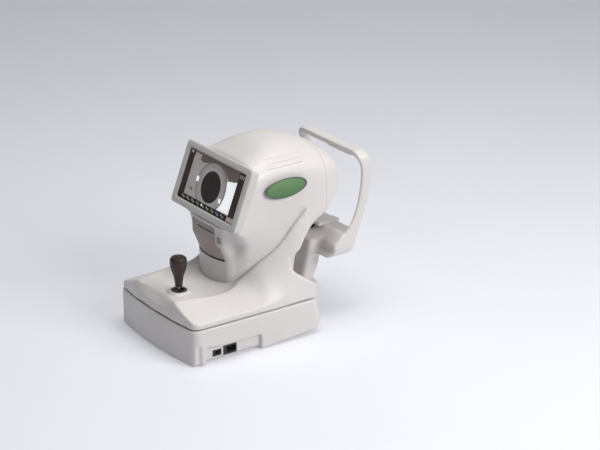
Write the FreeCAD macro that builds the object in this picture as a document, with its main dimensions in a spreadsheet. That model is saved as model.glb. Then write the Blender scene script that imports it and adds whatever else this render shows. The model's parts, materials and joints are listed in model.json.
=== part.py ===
"""Autorefractor: an eye-testing instrument with a sliding carriage, a lifting head and a headrest.

The frame has +Z up, +Y towards the patient and the operator at -Y. Its origin is on the table, under the
middle of the whole instrument. Lengths are in millimetres.
"""
import FreeCAD, Part
import math
import os
import Sketcher

Vec = FreeCAD.Vector

# ---------------------------------------------------------------- driving dimensions
SIZES = {
    "overall_width": 317, "overall_depth": 521,
    "base_reach": 350, "base_rear_reach": 405, "base_top": 85, "base_bottom": 6, "foot_block_bottom": 2,
    "casing_wall": 3, "base_corner": 24, "panel_recess": 10, "panel_top": 38,
    "plate_bottom": 22, "plate_thick": 3,
    "shaft_dia": 12, "shaft_fit": 0.1, "fore_shaft_height": 52, "fore_shaft_spacing": 150,
    "fore_shaft_length": 300, "cross_plate_bottom": 64, "cross_plate_thick": 6,
    "side_shaft_height": 83, "side_shaft_length": 216,
    "carriage_plate_bottom": 95, "carriage_plate_thick": 5,
    "cover_bottom": 88, "lip_top": 101, "platform_top": 130, "head_gap": 1,
    "head_half_width": 122, "head_bottom": 104, "head_rear_reach": 458, "head_rear_radius": 75,
    "nose_seam": 395, "monitor_width": 262, "monitor_height": 148, "monitor_tilt": 21,
    "monitor_reach": 160, "monitor_middle": 349, "monitor_back_width": 250, "monitor_back_height": 138,
    "bezel_thick": 7, "monitor_thick": 24, "glass_width": 226, "glass_height": 116,
    "optical_height": 334, "column_dia": 14, "column_spacing": 124, "lift_screw_dia": 10,
    "joystick_side": 27, "joystick_reach": 56, "joystick_pivot": 112,
    "hoop_half_width": 123, "hoop_top": 396, "hoop_bottom": 150, "hoop_band": 9, "top_bar": 16,
    "post_half_width": 60, "chin_reach": 462, "chin_shaft_dia": 14,
    "roller_dia": 12, "paper_roll_dia": 44, "paper_width": 58,
    "window_dia": 34,
}

doc = FreeCAD.newDocument("autorefractor")
sheet = doc.addObject("Spreadsheet::Sheet", "sizes")
for row, (word, number) in enumerate(SIZES.items(), start=1):
    sheet.set("A%d" % row, word)
    sheet.set("B%d" % row, str(number))
    sheet.setAlias("B%d" % row, word)
doc.recompute()

subparts = []


def size(word):
    """The value of one named cell."""
    return float(sheet.get(word))


def back(distance):
    """The Y of a point that lies this far behind the front of the base."""
    return distance - size("overall_depth") / 2


# ---------------------------------------------------------------- document helpers
def keep(item, label):
    """Register an object as a sub-part, which is written under this label."""
    item.Label = label
    subparts.append(item)
    return item


def bind(item, **links):
    """Tie properties of an object to the sheet; __ stands for a dot in the property's name."""
    for name, formula in links.items():
        item.setExpression(name.replace("__", "."), formula)
    return item


def put(item, x=0, y=0, z=0, axis=Vec(0, 0, 1), angle=0):
    item.Placement = FreeCAD.Placement(Vec(x, y, z), FreeCAD.Rotation(axis, angle))
    return item


def from_shape(label, shape):
    """A sub-part whose form comes from Part's own functions."""
    item = doc.addObject("Part::Feature", label)
    item.Shape = shape.removeSplitter() if shape.ShapeType != "Compound" else shape
    return keep(item, label)


def helper_shape(name, shape):
    item = doc.addObject("Part::Feature", name)
    item.Shape = shape
    return item


def join_objects(label, items):
    item = doc.addObject("Part::MultiFuse", label)
    item.Shapes = items
    return item


def bound_rod(name, radius, height, x, y, z, direction=Vec(0, 0, 1)):
    """A Part cylinder that starts at x, y, z and runs along a direction."""
    item = doc.addObject("Part::Cylinder", name)
    bind(item, Radius=radius, Height=height)
    item.Placement = FreeCAD.Placement(Vec(), FreeCAD.Rotation(Vec(0, 0, 1), direction))
    bind(item, Placement__Base__x=x, Placement__Base__y=y, Placement__Base__z=z)
    return item


def new_body(label, x=0, y=0, z=0, axis=Vec(0, 0, 1), angle=0):
    body = doc.addObject("PartDesign::Body", label)
    put(body, x, y, z, axis, angle)
    return keep(body, label)


def sketch_on(body, role, name, raised=0):
    """An empty sketch on one of the body's own origin planes."""
    plane = [part for part in body.Origin.OriginFeatures if part.Role == role][0]
    sketch = body.newObject("Sketcher::SketchObject", name)
    sketch.AttachmentSupport = [(plane, "")]
    sketch.MapMode = "FlatFace"
    sketch.AttachmentOffset = FreeCAD.Placement(Vec(0, 0, raised), FreeCAD.Rotation())
    return sketch


def draw_rectangle(sketch, width, depth):
    """A centred rectangle whose two sizes are sheet formulas."""
    corners = [Vec(-10, -10, 0), Vec(10, -10, 0), Vec(10, 10, 0), Vec(-10, 10, 0)]
    first = sketch.GeometryCount
    for index in range(4):
        sketch.addGeometry(Part.LineSegment(corners[index], corners[(index + 1) % 4]))
    for index in range(4):
        sketch.addConstraint(Sketcher.Constraint("Coincident", first + index, 2,
                                                 first + (index + 1) % 4, 1))
    for index in (0, 2):
        sketch.addConstraint(Sketcher.Constraint("Horizontal", first + index))
        sketch.addConstraint(Sketcher.Constraint("Vertical", first + index + 1))
    sketch.addConstraint(Sketcher.Constraint("Symmetric", first, 1, first + 1, 2, -1, 1))
    wide = sketch.addConstraint(Sketcher.Constraint("DistanceX", first, 1, first, 2, 20))
    deep = sketch.addConstraint(Sketcher.Constraint("DistanceY", first + 1, 1, first + 1, 2, 20))
    sketch.setExpression("Constraints[%d]" % wide, width)
    sketch.setExpression("Constraints[%d]" % deep, depth)


def draw_polyline(sketch, points):
    """A closed run of straight edges through (x, y) points."""
    count = len(points)
    for index, (x, y) in enumerate(points):
        nx, ny = points[(index + 1) % count]
        sketch.addGeometry(Part.LineSegment(Vec(x, y, 0), Vec(nx, ny, 0)))
    for index in range(count):
        sketch.addConstraint(Sketcher.Constraint("Coincident", index, 2, (index + 1) % count, 1))


def pad(body, sketch, length):
    feature = body.newObject("PartDesign::Pad", "%s_pad%d" % (body.Name, len(body.Group)))
    feature.Profile = sketch
    feature.setExpression("Length", length)
    sketch.Visibility = False
    doc.recompute()
    return feature


def pocket(body, sketch, length):
    """A pocket that is checked to remove material."""
    before = body.Shape.Volume
    feature = body.newObject("PartDesign::Pocket", "%s_pocket%d" % (body.Name, len(body.Group)))
    feature.Profile = sketch
    feature.setExpression("Length", length)
    doc.recompute()
    if body.Shape.Volume >= before - 1e-6:
        raise RuntimeError("%s: the pocket removes nothing" % body.Label)
    return feature


def block_body(label, width, depth, height, **place):
    """A rectangular body standing on its own origin."""
    body = new_body(label, **place)
    sketch = sketch_on(body, "XY_Plane", label + "_outline")
    draw_rectangle(sketch, width, depth)
    pad(body, sketch, height)
    return body


def turned_body(label, profile, **place):
    """A body turned about its own Z axis from an (r, z) profile."""
    body = new_body(label, **place)
    sketch = sketch_on(body, "XZ_Plane", label + "_profile")
    draw_polyline(sketch, profile)
    feature = body.newObject("PartDesign::Revolution", label + "_turn")
    feature.Profile = sketch
    feature.ReferenceAxis = (sketch, ["V_Axis"])
    feature.Angle = 360
    doc.recompute()
    return body


# ---------------------------------------------------------------- shape helpers
def prism(points, plane, low, high):
    """A closed outline pushed between two levels; plane names the axes of its points."""
    if plane == "xy":
        wire = Part.makePolygon([Vec(a, b, low) for a, b in points + points[:1]])
        push = Vec(0, 0, high - low)
    elif plane == "yz":
        wire = Part.makePolygon([Vec(low, a, b) for a, b in points + points[:1]])
        push = Vec(high - low, 0, 0)
    else:
        wire = Part.makePolygon([Vec(a, low, b) for a, b in points + points[:1]])
        push = Vec(0, high - low, 0)
    return Part.Face(wire).extrude(push)


def block(x0, x1, y0, y1, z0, z1):
    return Part.makeBox(x1 - x0, y1 - y0, z1 - z0, Vec(x0, y0, z0))


def rod(x, y, z, radius, length, direction=Vec(0, 0, 1)):
    return Part.makeCylinder(radius, length, Vec(x, y, z), direction)


def mirrored(shape):
    return shape.mirror(Vec(0, 0, 0), Vec(1, 0, 0))


def both_sides(shape):
    return Part.Compound([shape, mirrored(shape)])


def smooth_wire(points, closed=False):
    curve = Part.BSplineCurve()
    curve.interpolate([Vec(*point) for point in points], PeriodicFlag=closed)
    return curve.toShape()


def profile_face(chains):
    """A face in the YZ plane from chains of (reach, height) points, each straight or smooth."""
    edges = []
    for kind, points in chains:
        spots = [Vec(0, back(reach), height) for reach, height in points]
        if kind == "smooth":
            curve = Part.BSplineCurve()
            curve.interpolate(spots)
            edges.append(curve.toShape())
        else:
            for start, end in zip(spots, spots[1:]):
                edges.append(Part.LineSegment(start, end).toShape())
    return Part.Face(Part.Wire(edges))


def centred_extrusion(face, half_width):
    moved = face.copy()
    moved.translate(Vec(-half_width, 0, 0))
    return moved.extrude(Vec(2 * half_width, 0, 0))


# ---------------------------------------------------------------- base
def base_outline(inset, z):
    """The plan of the base: bowed front, straight sides and a narrower bulge behind."""
    half = size("overall_width") / 2 - inset
    front = back(0) + inset
    corner = size("base_corner") - inset
    shoulder = back(size("base_reach")) - inset
    rear = back(size("base_rear_reach")) - inset
    bow = 10
    neck = size("post_half_width") + 18 - inset
    right = [
        Part.Arc(Vec(half - corner, front + bow, z),
                 Vec(half - corner * 0.29, front + bow + corner * 0.29, z),
                 Vec(half, front + bow + corner, z)).toShape(),
        Part.LineSegment(Vec(half, front + bow + corner, z), Vec(half, shoulder - corner, z)).toShape(),
        Part.Arc(Vec(half, shoulder - corner, z),
                 Vec(half - corner * 0.29, shoulder - corner * 0.29, z),
                 Vec(half - corner, shoulder, z)).toShape(),
        Part.LineSegment(Vec(half - corner, shoulder, z), Vec(neck + 14, shoulder + 4, z)).toShape(),
        Part.LineSegment(Vec(neck + 14, shoulder + 4, z), Vec(neck, rear - 14, z)).toShape(),
        Part.Arc(Vec(neck, rear - 14, z), Vec(neck - 4, rear - 4, z), Vec(neck - 14, rear, z)).toShape(),
    ]
    left = [mirrored(edge) for edge in right]
    bow_edge = Part.Arc(Vec(-half + corner, front + bow, z), Vec(0, front, z),
                        Vec(half - corner, front + bow, z)).toShape()
    rear_edge = Part.LineSegment(Vec(neck - 14, rear, z), Vec(-neck + 14, rear, z)).toShape()
    return Part.Wire(Part.__sortEdges__([bow_edge] + right + [rear_edge] + left))


def base_prism(inset, low, high):
    return Part.Face(base_outline(inset, low)).extrude(Vec(0, 0, high - low))


wall = size("casing_wall")
deck_opening = block(-114, 114, back(32), back(318), size("base_top") - 10, size("base_top") + 5)


def post_blank():
    """The headrest post: a band that leans towards the patient as it rises."""
    face = profile_face([
        ("smooth", [(360, 30), (368, 85), (374, 109), (383, 147), (392, 186)]),
        ("straight", [(392, 186), (440, 186)]),
        ("smooth", [(440, 186), (425, 153), (414, 109), (401, 80), (392, 50), (390, 30)]),
        ("straight", [(390, 30), (360, 30)]),
    ])
    return centred_extrusion(face, size("post_half_width"))


def base_casing():
    """The lower casing: a tub without a bottom, its side panels recessed between the foot blocks."""
    low = size("base_bottom")
    shell = base_prism(0, size("foot_block_bottom"), size("base_top"))
    half = size("overall_width") / 2
    panel_x = half - size("panel_recess")
    trims = [
        block(-half - 1, half + 1, back(44), back(194), 0, low),
        block(-half + 24, half - 24, back(-1), back(410), 0, low),
        block(-half - 1, half + 1, back(224), back(410), 0, low),
        prism([(back(224), low - 1), (back(410), low - 1), (back(410), 22), (back(224), low)], "yz",
              -half - 1, half + 1),
    ]
    recess = prism([(back(44), 0), (back(194), 0), (back(194), size("panel_top")),
                    (back(44), size("panel_top") - 2)], "yz", panel_x, half + 1)
    groove = rod(half + 3, back(36), 0, 9, size("panel_top") - 6)
    for tool in trims + [recess, mirrored(recess), groove, mirrored(groove)]:
        shell = shell.cut(tool)
    hollow = base_prism(wall, -5, size("base_top") - wall)
    side_shell = block(panel_x - wall, half, back(40), back(198), -5, size("panel_top") + wall)
    groove_shell = rod(half + 3, back(36), -5, 9 + wall, size("panel_top") - 1)
    for keeper in (side_shell, mirrored(side_shell), groove_shell, mirrored(groove_shell)):
        hollow = hollow.cut(keeper)
    shell = shell.cut(hollow)
    shell = shell.cut(deck_opening)
    shell = shell.cut(centred_extrusion(profile_face([
        ("straight", [(364, 70), (410, 70), (410, 95), (364, 95), (364, 70)])]),
        size("post_half_width") + 0.5))
    shell = shell.cut(block(panel_x - wall - 1, half, back(97), back(129), 9, 31))
    shell = shell.cut(block(panel_x - wall - 1, half, back(68), back(87), 14, 26))
    shell = shell.cut(block(-half, -panel_x + wall + 1, back(80), back(110), 12, 28))
    return from_shape("base_casing", shell)


def base_bottom_plate():
    level = size("plate_bottom")
    plate = base_prism(wall + 0.3, level, level + size("plate_thick"))
    half = size("overall_width") / 2
    plate = plate.cut(block(112, half, back(38), back(200), 0, 60))
    plate = plate.cut(block(-half, -112, back(38), back(200), 0, 60))
    plate = plate.cut(both_sides(rod(half + 3, back(36), 0, 13, 60)))
    return from_shape("bottom_plate", plate)


def rubber_feet():
    """Four rubber feet; each neck passes up to the bottom plate."""
    level = size("plate_bottom")
    feet = []
    for side in (-1, 1):
        for reach in (30, 322):
            x = side * 118
            pad_part = rod(x, back(reach), 0, 13, 8)
            neck = rod(x, back(reach), 8, 7, level - 8)
            feet.append(pad_part.fuse(neck))
    return from_shape("rubber_feet", Part.Compound(feet))


def sockets():
    """The mains inlet and the small data socket of the right panel."""
    panel_x = size("overall_width") / 2 - size("panel_recess")
    inlet = block(panel_x - 30, panel_x + 0.5, back(98), back(128), 10, 30)
    inlet = inlet.cut(block(panel_x - 18, panel_x + 2, back(101), back(125), 13, 27))
    for reach, height in ((107, 18), (119, 18), (113, 23)):
        inlet = inlet.fuse(block(panel_x - 18, panel_x - 4, back(reach - 1), back(reach + 1), height - 2,
                                 height + 2))
    from_shape("mains_inlet", inlet)
    socket = block(panel_x - 16, panel_x + 0.5, back(69), back(86), 15, 25)
    socket = socket.cut(block(panel_x - 12, panel_x + 2, back(71), back(84), 16.5, 23.5))
    socket = socket.fuse(block(panel_x - 12, panel_x - 2, back(73), back(82), 21, 22.5))
    from_shape("data_socket", socket)


def power_switch():
    """A rocker in its frame, on the left panel."""
    panel_x = size("overall_width") / 2 - size("panel_recess")
    frame = block(-panel_x - 1.5, -panel_x + 16, back(81), back(109), 12.5, 27.5)
    frame = frame.cut(block(-panel_x - 3, -panel_x + 12, back(83), back(107), 14.5, 25.5))
    from_shape("switch_frame", frame)
    rocker = prism([(-panel_x + 8, back(88)), (-panel_x + 8, back(102)), (-panel_x - 1, back(105)),
                    (-panel_x + 1, back(95)), (-panel_x - 4, back(85))], "xy", 15.2, 24.8)
    rocker = rocker.fuse(rod(-panel_x + 4, back(95), 14.7, 2, 10.6))
    from_shape("power_rocker", rocker)


def power_supply():
    level = size("plate_bottom") + size("plate_thick")
    board = block(-48, 48, back(58), back(173), level + 4, level + 6)
    for x, reach, wide, deep, tall in ((-28, 80, 30, 30, 24), (12, 84, 22, 22, 20), (-24, 130, 34, 26, 20),
                                       (18, 132, 16, 34, 16)):
        board = board.fuse(block(x - wide / 2, x + wide / 2, back(reach - deep / 2),
                                 back(reach + deep / 2), level + 6, level + 6 + tall))
    for x in (-42, 42):
        for reach in (64, 167):
            board = board.fuse(rod(x, back(reach), level, 3, 5))
    return from_shape("power_supply", board)


# ---------------------------------------------------------------- sliding stage
def guide_shafts():
    """Two fixed shafts run fore and aft in the base; two more ride across on the cross slide."""
    fore = []
    across = []
    for sign, mark in ((-1, "left"), (1, "right")):
        fore.append(bound_rod("fore_shaft_" + mark, "sizes.shaft_dia / 2", "sizes.fore_shaft_length",
                              "%d * sizes.fore_shaft_spacing / 2" % sign,
                              "40 - sizes.overall_depth / 2", "sizes.fore_shaft_height", Vec(0, 1, 0)))
    for reach, mark in ((125, "front"), (225, "rear")):
        across.append(bound_rod("side_shaft_" + mark, "sizes.shaft_dia / 2", "sizes.side_shaft_length",
                                "-sizes.side_shaft_length / 2", "%d - sizes.overall_depth / 2" % reach,
                                "sizes.side_shaft_height", Vec(1, 0, 0)))
    keep(join_objects("fore_aft_shafts", fore), "fore_aft_shafts")
    keep(join_objects("side_shafts", across), "side_shafts")


def shaft_supports():
    level = size("plate_bottom") + size("plate_thick")
    high = size("fore_shaft_height")
    radius = size("shaft_dia") / 2
    blocks = []
    for side in (-1, 1):
        for reach in (46, 334):
            x = side * size("fore_shaft_spacing") / 2
            body = block(x - 15, x + 15, back(reach - 6), back(reach + 6), level, high + 11)
            blocks.append(body.cut(rod(x, back(reach - 10), high, radius, 20, Vec(0, 1, 0))))
    from_shape("fore_shaft_supports", Part.Compound(blocks))
    blocks = []
    plate_top = size("cross_plate_bottom") + size("cross_plate_thick")
    high = size("side_shaft_height")
    for side in (-1, 1):
        for reach in (125, 225):
            x = side * 102
            body = block(x - 6, x + 6, back(reach - 12), back(reach + 12), plate_top, high + 9.5)
            blocks.append(body.cut(rod(x - 10, back(reach), high, radius, 20, Vec(1, 0, 0))))
    from_shape("side_shaft_supports", Part.Compound(blocks))


def stage_bushes():
    """Linear bush blocks that run on the shafts."""
    bore = (size("shaft_dia") + size("shaft_fit")) / 2
    fore = []
    for side in (-1, 1):
        for reach in (128, 222):
            x = side * size("fore_shaft_spacing") / 2
            body = block(x - 17, x + 17, back(reach - 20), back(reach + 20), size("fore_shaft_height") - 12,
                         size("cross_plate_bottom"))
            hole = rod(x, back(reach - 30), size("fore_shaft_height"), bore, 60, Vec(0, 1, 0))
            fore.append(body.cut(hole))
    from_shape("fore_aft_bushes", Part.Compound(fore))
    across = []
    for side in (-1, 1):
        for reach in (125, 225):
            x = side * 26
            body = block(x - 16, x + 16, back(reach - 14), back(reach + 14), size("side_shaft_height") - 11,
                         size("carriage_plate_bottom"))
            hole = rod(x - 30, back(reach), size("side_shaft_height"), bore, 60, Vec(1, 0, 0))
            across.append(body.cut(hole))
    from_shape("side_bushes", Part.Compound(across))


def cross_slide():
    plate = block_body("cross_slide_plate", "216", "146", "sizes.cross_plate_thick",
                       y=back(175), z=size("cross_plate_bottom"))
    window = sketch_on(plate, "XY_Plane", "cross_window", raised=size("cross_plate_thick"))
    draw_rectangle(window, "96", "60")
    pocket(plate, window, "sizes.cross_plate_thick")


# ---------------------------------------------------------------- head outline
HEAD_KEYS = (
    # reach, waist half-width, waist height, crown height, squareness of the crown
    (140, 72, 150, 382, 5.0),
    (184, 74, 160, 400, 4.4),
    (225, 90, 185, 420, 3.2),
    (265, 104, 205, 437, 2.6),
    (305, 112, 225, 444, 2.35),
    (345, 115, 240, 440, 2.3),
    (400, 116, 240, 420, 2.3),
    (440, 116, 240, 392, 2.4),
    (475, 116, 240, 352, 2.6),
)
STATION_STEP = 21


def blended_stations(keys):
    """Stations at an even pitch, each value eased between the key stations."""
    first = keys[0][0]
    last = keys[-1][0]
    count = round((last - first) / STATION_STEP)
    curves = []
    for column in range(1, len(keys[0])):
        curve = Part.BSplineCurve()
        curve.interpolate([Vec(key[0], key[column], 0) for key in keys])
        curves.append(curve)
    stations = []
    for index in range(count + 1):
        reach = first + (last - first) * index / count
        level = Part.Plane(Vec(reach, 0, 0), Vec(1, 0, 0))
        values = []
        for curve in curves:
            spots = curve.intersect(level)[0]
            values.append(spots[0].Y if spots else curve.value(curve.LastParameter).y)
        stations.append([reach] + values)
    return stations


def head_section(reach, waist, waist_height, crown, square, inset):
    """One section across the head: a narrow waist, upright sides and an arched crown."""
    y = back(reach)
    side = size("head_half_width") - inset
    waist -= inset
    shoulder = 335
    low = size("head_bottom") - 8
    flare_low = waist_height - 20
    straight = [(waist, low), (waist, flare_low)]
    flare = [(waist + (side - waist) * out, flare_low + (292 - flare_low) * up)
             for out, up in ((0, 0), (0.16, 0.25), (0.5, 0.5), (0.84, 0.75), (1, 1))]
    rise = crown - inset - shoulder
    arch = []
    for step in range(13):
        angle = math.pi * step / 12
        power = 2 / square
        x = side * math.copysign(abs(math.cos(angle)) ** power, math.cos(angle))
        arch.append((x, shoulder + rise * math.sin(angle) ** power))
    arch[0] = (side, shoulder)
    arch[-1] = (-side, shoulder)
    edges = [Part.LineSegment(Vec(-waist, y, low), Vec(waist, y, low)).toShape()]

    def line(a, b):
        return Part.LineSegment(Vec(a[0], y, a[1]), Vec(b[0], y, b[1])).toShape()

    edges.append(line(*straight))
    edges.append(smooth_wire([(a, y, b) for a, b in flare]))
    edges.append(line((side, 292), (side, shoulder)))
    edges.append(smooth_wire([(a, y, b) for a, b in arch]))
    edges.append(line((-side, shoulder), (-side, 292)))
    edges.append(smooth_wire([(-a, y, b) for a, b in reversed(flare)]))
    edges.append(line((-waist, flare_low), (-waist, low)))
    return Part.Wire(edges)


def monitor_axis():
    """The outward direction of the tilted screen."""
    tilt = math.radians(size("monitor_tilt"))
    return Vec(0, -math.cos(tilt), math.sin(tilt))


def monitor_centre():
    """The middle of the screen's front plane."""
    return Vec(0, back(size("monitor_reach")), size("monitor_middle"))


def monitor_placement(depth):
    """The frame of a monitor layer: x across, y up the screen, z out of it, at a depth behind the face."""
    spot = monitor_centre() - monitor_axis() * depth
    return FreeCAD.Placement(spot, FreeCAD.Rotation(Vec(1, 0, 0), 90 - size("monitor_tilt")))


def head_hull(inset):
    """The whole outline of the head, or the same drawn in by a wall's thickness."""
    sections = [head_section(*station, inset) for station in blended_stations(HEAD_KEYS)]
    hull = Part.makeLoft(sections, True, True)
    rear = size("head_rear_reach") - inset
    radius = size("head_rear_radius") - inset
    side = size("head_half_width") + 2
    plan = Part.Wire([
        Part.LineSegment(Vec(-side, back(120), 0), Vec(side, back(120), 0)).toShape(),
        Part.LineSegment(Vec(side, back(120), 0), Vec(side, back(rear - radius), 0)).toShape(),
        Part.Arc(Vec(side, back(rear - radius), 0),
                 Vec(side - radius * 0.293, back(rear - radius * 0.293), 0),
                 Vec(side - radius, back(rear), 0)).toShape(),
        Part.LineSegment(Vec(side - radius, back(rear), 0), Vec(-side + radius, back(rear), 0)).toShape(),
        Part.Arc(Vec(-side + radius, back(rear), 0),
                 Vec(-side + radius * 0.293, back(rear - radius * 0.293), 0),
                 Vec(-side, back(rear - radius), 0)).toShape(),
        Part.LineSegment(Vec(-side, back(rear - radius), 0), Vec(-side, back(120), 0)).toShape(),
    ])
    hull = hull.common(Part.Face(plan).extrude(Vec(0, 0, 500)))
    behind = size("monitor_thick") + 0.4 + inset
    tilt = math.radians(size("monitor_tilt"))
    centre = monitor_centre() - monitor_axis() * behind
    centre_reach = centre.y - back(0)
    top_front = (centre_reach + (460 - centre.z) * math.tan(tilt), 460)
    mid_front = (centre_reach + (268 - centre.z) * math.tan(tilt), 268)
    low = size("head_bottom") if inset == 0 else size("head_bottom") - 20
    if inset < 0:
        low = size("head_bottom") - 30
    side_view = profile_face([
        ("straight", [(184 + inset, low), (184 + inset, 225), mid_front, top_front, (470, 460),
                      (470, 316 + inset), (446, 305 + inset), (408 - inset, 275 + inset),
                      (366 - inset, 245 + inset)]),
        ("smooth", [(366 - inset, 245 + inset), (349 - inset, 222 + inset), (333 - inset, 199 + inset),
                    (320 - inset, 180 + inset), (316.2 - inset, 168), (316 - inset, 156)]),
        ("straight", [(316 - inset, 156), (316 - inset, low), (184 + inset, low)]),
    ])
    return hull.common(centred_extrusion(side_view, 140))


def head_shells():
    outer = head_hull(0)
    inner = head_hull(wall)
    shell = outer.cut(inner)
    lift_off = size("optical_height")
    shell = shell.cut(rod(0, back(440), lift_off, size("window_dia") / 2, 40, Vec(0, 1, 0)))
    shell = shell.cut(block(-50, 50, back(150), back(240), 300, 380))
    shell = shell.cut(block(-54, 54, back(150), back(192), 112, 262))
    louvres = []
    for index in range(3):
        height = 408 - 9 * index
        louvres.append(block(-130, 130, back(244), back(338), height, height + 2))
    body = shell
    for groove in louvres:
        rim = body.common(groove)
        thin = head_hull(1)
        body = body.cut(rim.cut(thin))
    seam = back(size("nose_seam"))
    front_part = body.common(block(-200, 200, back(100), seam, 0, 500))
    rear_part = body.common(block(-200, 200, seam, back(500), 0, 500))
    from_shape("head_casing", front_part)
    from_shape("nose_cover", rear_part)


# ---------------------------------------------------------------- carriage
COVER_STATIONS = (
    # reach, lip half-width, crest half-width, crest height
    (3, 150, 72, 128),
    (30, 155, 80, 130),
    (85, 156, 95, 130),
    (130, 156, 99, 130),
    (160, 156, 93, 131),
    (184, 156, 87, 146),
    (225, 156, 99, 180),
    (250, 156, 107, 199),
    (278, 156, 116, 227),
    (306, 156, 123, 262),
    (350, 156, 127, 304),
)


def cover_section(reach, lip, crest, crest_height, inset):
    y = back(reach)
    low = size("cover_bottom") - (2 if inset else 0)
    lip -= inset
    crest -= inset * 0.9
    crest_height -= inset * 1.1
    lip_top = size("lip_top") - inset * 0.5
    points = [(-lip, low), (lip, low), (lip, lip_top), (crest, crest_height), (-crest, crest_height),
              (-lip, lip_top)]
    return Part.makePolygon([Vec(x, y, z) for x, z in points + points[:1]])


def cover_body(inset):
    sections = [cover_section(*station, inset) for station in COVER_STATIONS]
    solid = Part.makeLoft(sections, True, True)
    front = inset
    rear = -inset
    side_view = profile_face([
        ("straight", [(2 + front, 80), (2 + front, 101), (16 + front, 150), (16 + front, 310),
                      (342 + rear, 310), (337 + rear, 250), (312 + rear, 206), (300 + rear, 196),
                      (289 + rear, 194), (286 + rear, 166), (296 + rear, 152), (338 + rear, 148),
                      (345 + rear, 134), (345 + rear, 80),
                      (2 + front, 80)])])
    solid = solid.common(centred_extrusion(side_view, 170))
    plan = base_prism(2 + inset, 60, 320)
    return solid.common(plan)


def carriage_cover():
    """The sliding cover: a platform in front, a scoop behind that the head sinks into."""
    shell = cover_body(0)
    hollow = cover_body(wall)
    shell = shell.cut(hollow)
    opening = head_hull(-size("head_gap"))
    column = column_body(-size("head_gap") - 0.5, size("head_bottom") - 40)
    shell = shell.cut(opening)
    shell = shell.cut(column)
    shell = shell.cut(rod(size("joystick_side"), back(size("joystick_reach")), 110, 15, 40))
    shell = shell.cut(block(-70, 70, back(300), back(360), size("carriage_plate_bottom") + 20, 300))
    solids = sorted(shell.Solids, key=lambda part: part.Volume)
    return from_shape("carriage_cover", solids[-1])


def carriage_plate():
    plate = block_body("carriage_plate", "212", "225", "sizes.carriage_plate_thick",
                       y=back(215), z=size("carriage_plate_bottom"))
    holes = sketch_on(plate, "XY_Plane", "plate_window", raised=size("carriage_plate_thick"))
    draw_rectangle(holes, "90", "46")
    pocket(plate, holes, "sizes.carriage_plate_thick")


def lift_drive():
    """The lift: a motor on the carriage plate turns the lead screw between two guide columns."""
    top = size("carriage_plate_bottom") + size("carriage_plate_thick")
    motor = block(-21, 21, back(269), back(311), top, top + 34)
    motor = motor.makeChamfer(3, [edge for edge in motor.Edges if edge.Length > 33 and edge.Length < 35])
    motor = motor.fuse(rod(0, back(290), top + 34, 11, 2)).cut(rod(0, back(290), top + 10, 5.1, 40))
    from_shape("lift_motor", motor)
    spacing = "sizes.column_spacing / 2"
    columns = []
    for sign, mark in ((-1, "left"), (1, "right")):
        columns.append(bound_rod("lift_column_" + mark, "sizes.column_dia / 2", "145",
                                 "%d * %s" % (sign, spacing), "290 - sizes.overall_depth / 2",
                                 "sizes.carriage_plate_bottom + sizes.carriage_plate_thick"))
    keep(join_objects("lift_columns", columns), "lift_columns")
    screw = bound_rod("lead_screw_core", "sizes.lift_screw_dia / 2 - 0.6", "120", "0",
                      "290 - sizes.overall_depth / 2", "112")
    lands = []
    radius = size("lift_screw_dia") / 2
    for index in range(22):
        lands.append(rod(0, back(290), 140 + 4 * index, radius, 2))
    lands_item = helper_shape("lead_screw_lands", Part.Compound(lands))
    keep(join_objects("lead_screw", [screw, lands_item]), "lead_screw")


# ---------------------------------------------------------------- joystick
def joystick():
    x = size("joystick_side")
    y = back(size("joystick_reach"))
    pivot = size("joystick_pivot")
    underside = size("platform_top") - wall - 0.5
    turned_body("joystick_housing", [(23, 98 - pivot), (28, 98 - pivot), (28, underside - pivot),
                                     (23, underside - pivot)], x=x, y=y, z=pivot)
    ring = rod(x, y, pivot - 4, 20, 8).cut(rod(x, y, pivot - 10, 14.5, 20))
    for side in (-1, 1):
        ring = ring.fuse(rod(x + side * 17, y, pivot, 2, 5.5, Vec(side, 0, 0)))
    from_shape("joystick_gimbal", ring)
    shaft = Part.makeSphere(8.5, Vec(x, y, pivot))
    for side in (-1, 1):
        shaft = shaft.fuse(rod(x, y, pivot, 2, 14, Vec(0, side, 0)))
    shaft = shaft.fuse(rod(x, y, pivot, 4, 70))
    from_shape("joystick_shaft", shaft)
    turned_body("joystick_ring", [(11, 128), (14.6, 128), (14.6, 130.2), (19, 130.2), (18, 132.4),
                                  (12, 133), (11, 131)], x=x, y=y)
    turned_body("joystick_grip", [(4.1, 141), (8.2, 141), (9.2, 152), (11.5, 166), (16.5, 180), (19, 190),
                                  (19.4, 200), (18.6, 207), (15, 211), (8.4, 212), (8.4, 204), (4.1, 204)],
                x=x, y=y)
    turned_body("measure_button", [(0, 205.6), (7.9, 205.6), (7.9, 211.8), (6.6, 213.4), (0, 214)], x=x, y=y)


# ---------------------------------------------------------------- printer column
def column_body(inset, low):
    """The front column below the screen, which carries the printer."""
    rings = []
    for z, middle, corner, half in ((low, 149, 168, 64), (187, 151, 168, 64), (226, 144, 149, 66),
                                    (270, 144, 149, 66)):
        half -= inset
        left = Vec(-half, back(corner + inset), z)
        right = Vec(half, back(corner + inset), z)
        rings.append(Part.Wire([
            Part.Arc(left, Vec(0, back(middle + inset), z), right).toShape(),
            Part.LineSegment(right, Vec(half, back(205), z)).toShape(),
            Part.LineSegment(Vec(half, back(205), z), Vec(-half, back(205), z)).toShape(),
            Part.LineSegment(Vec(-half, back(205), z), left).toShape(),
        ]))
    return Part.makeLoft(rings, True, True)


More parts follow.
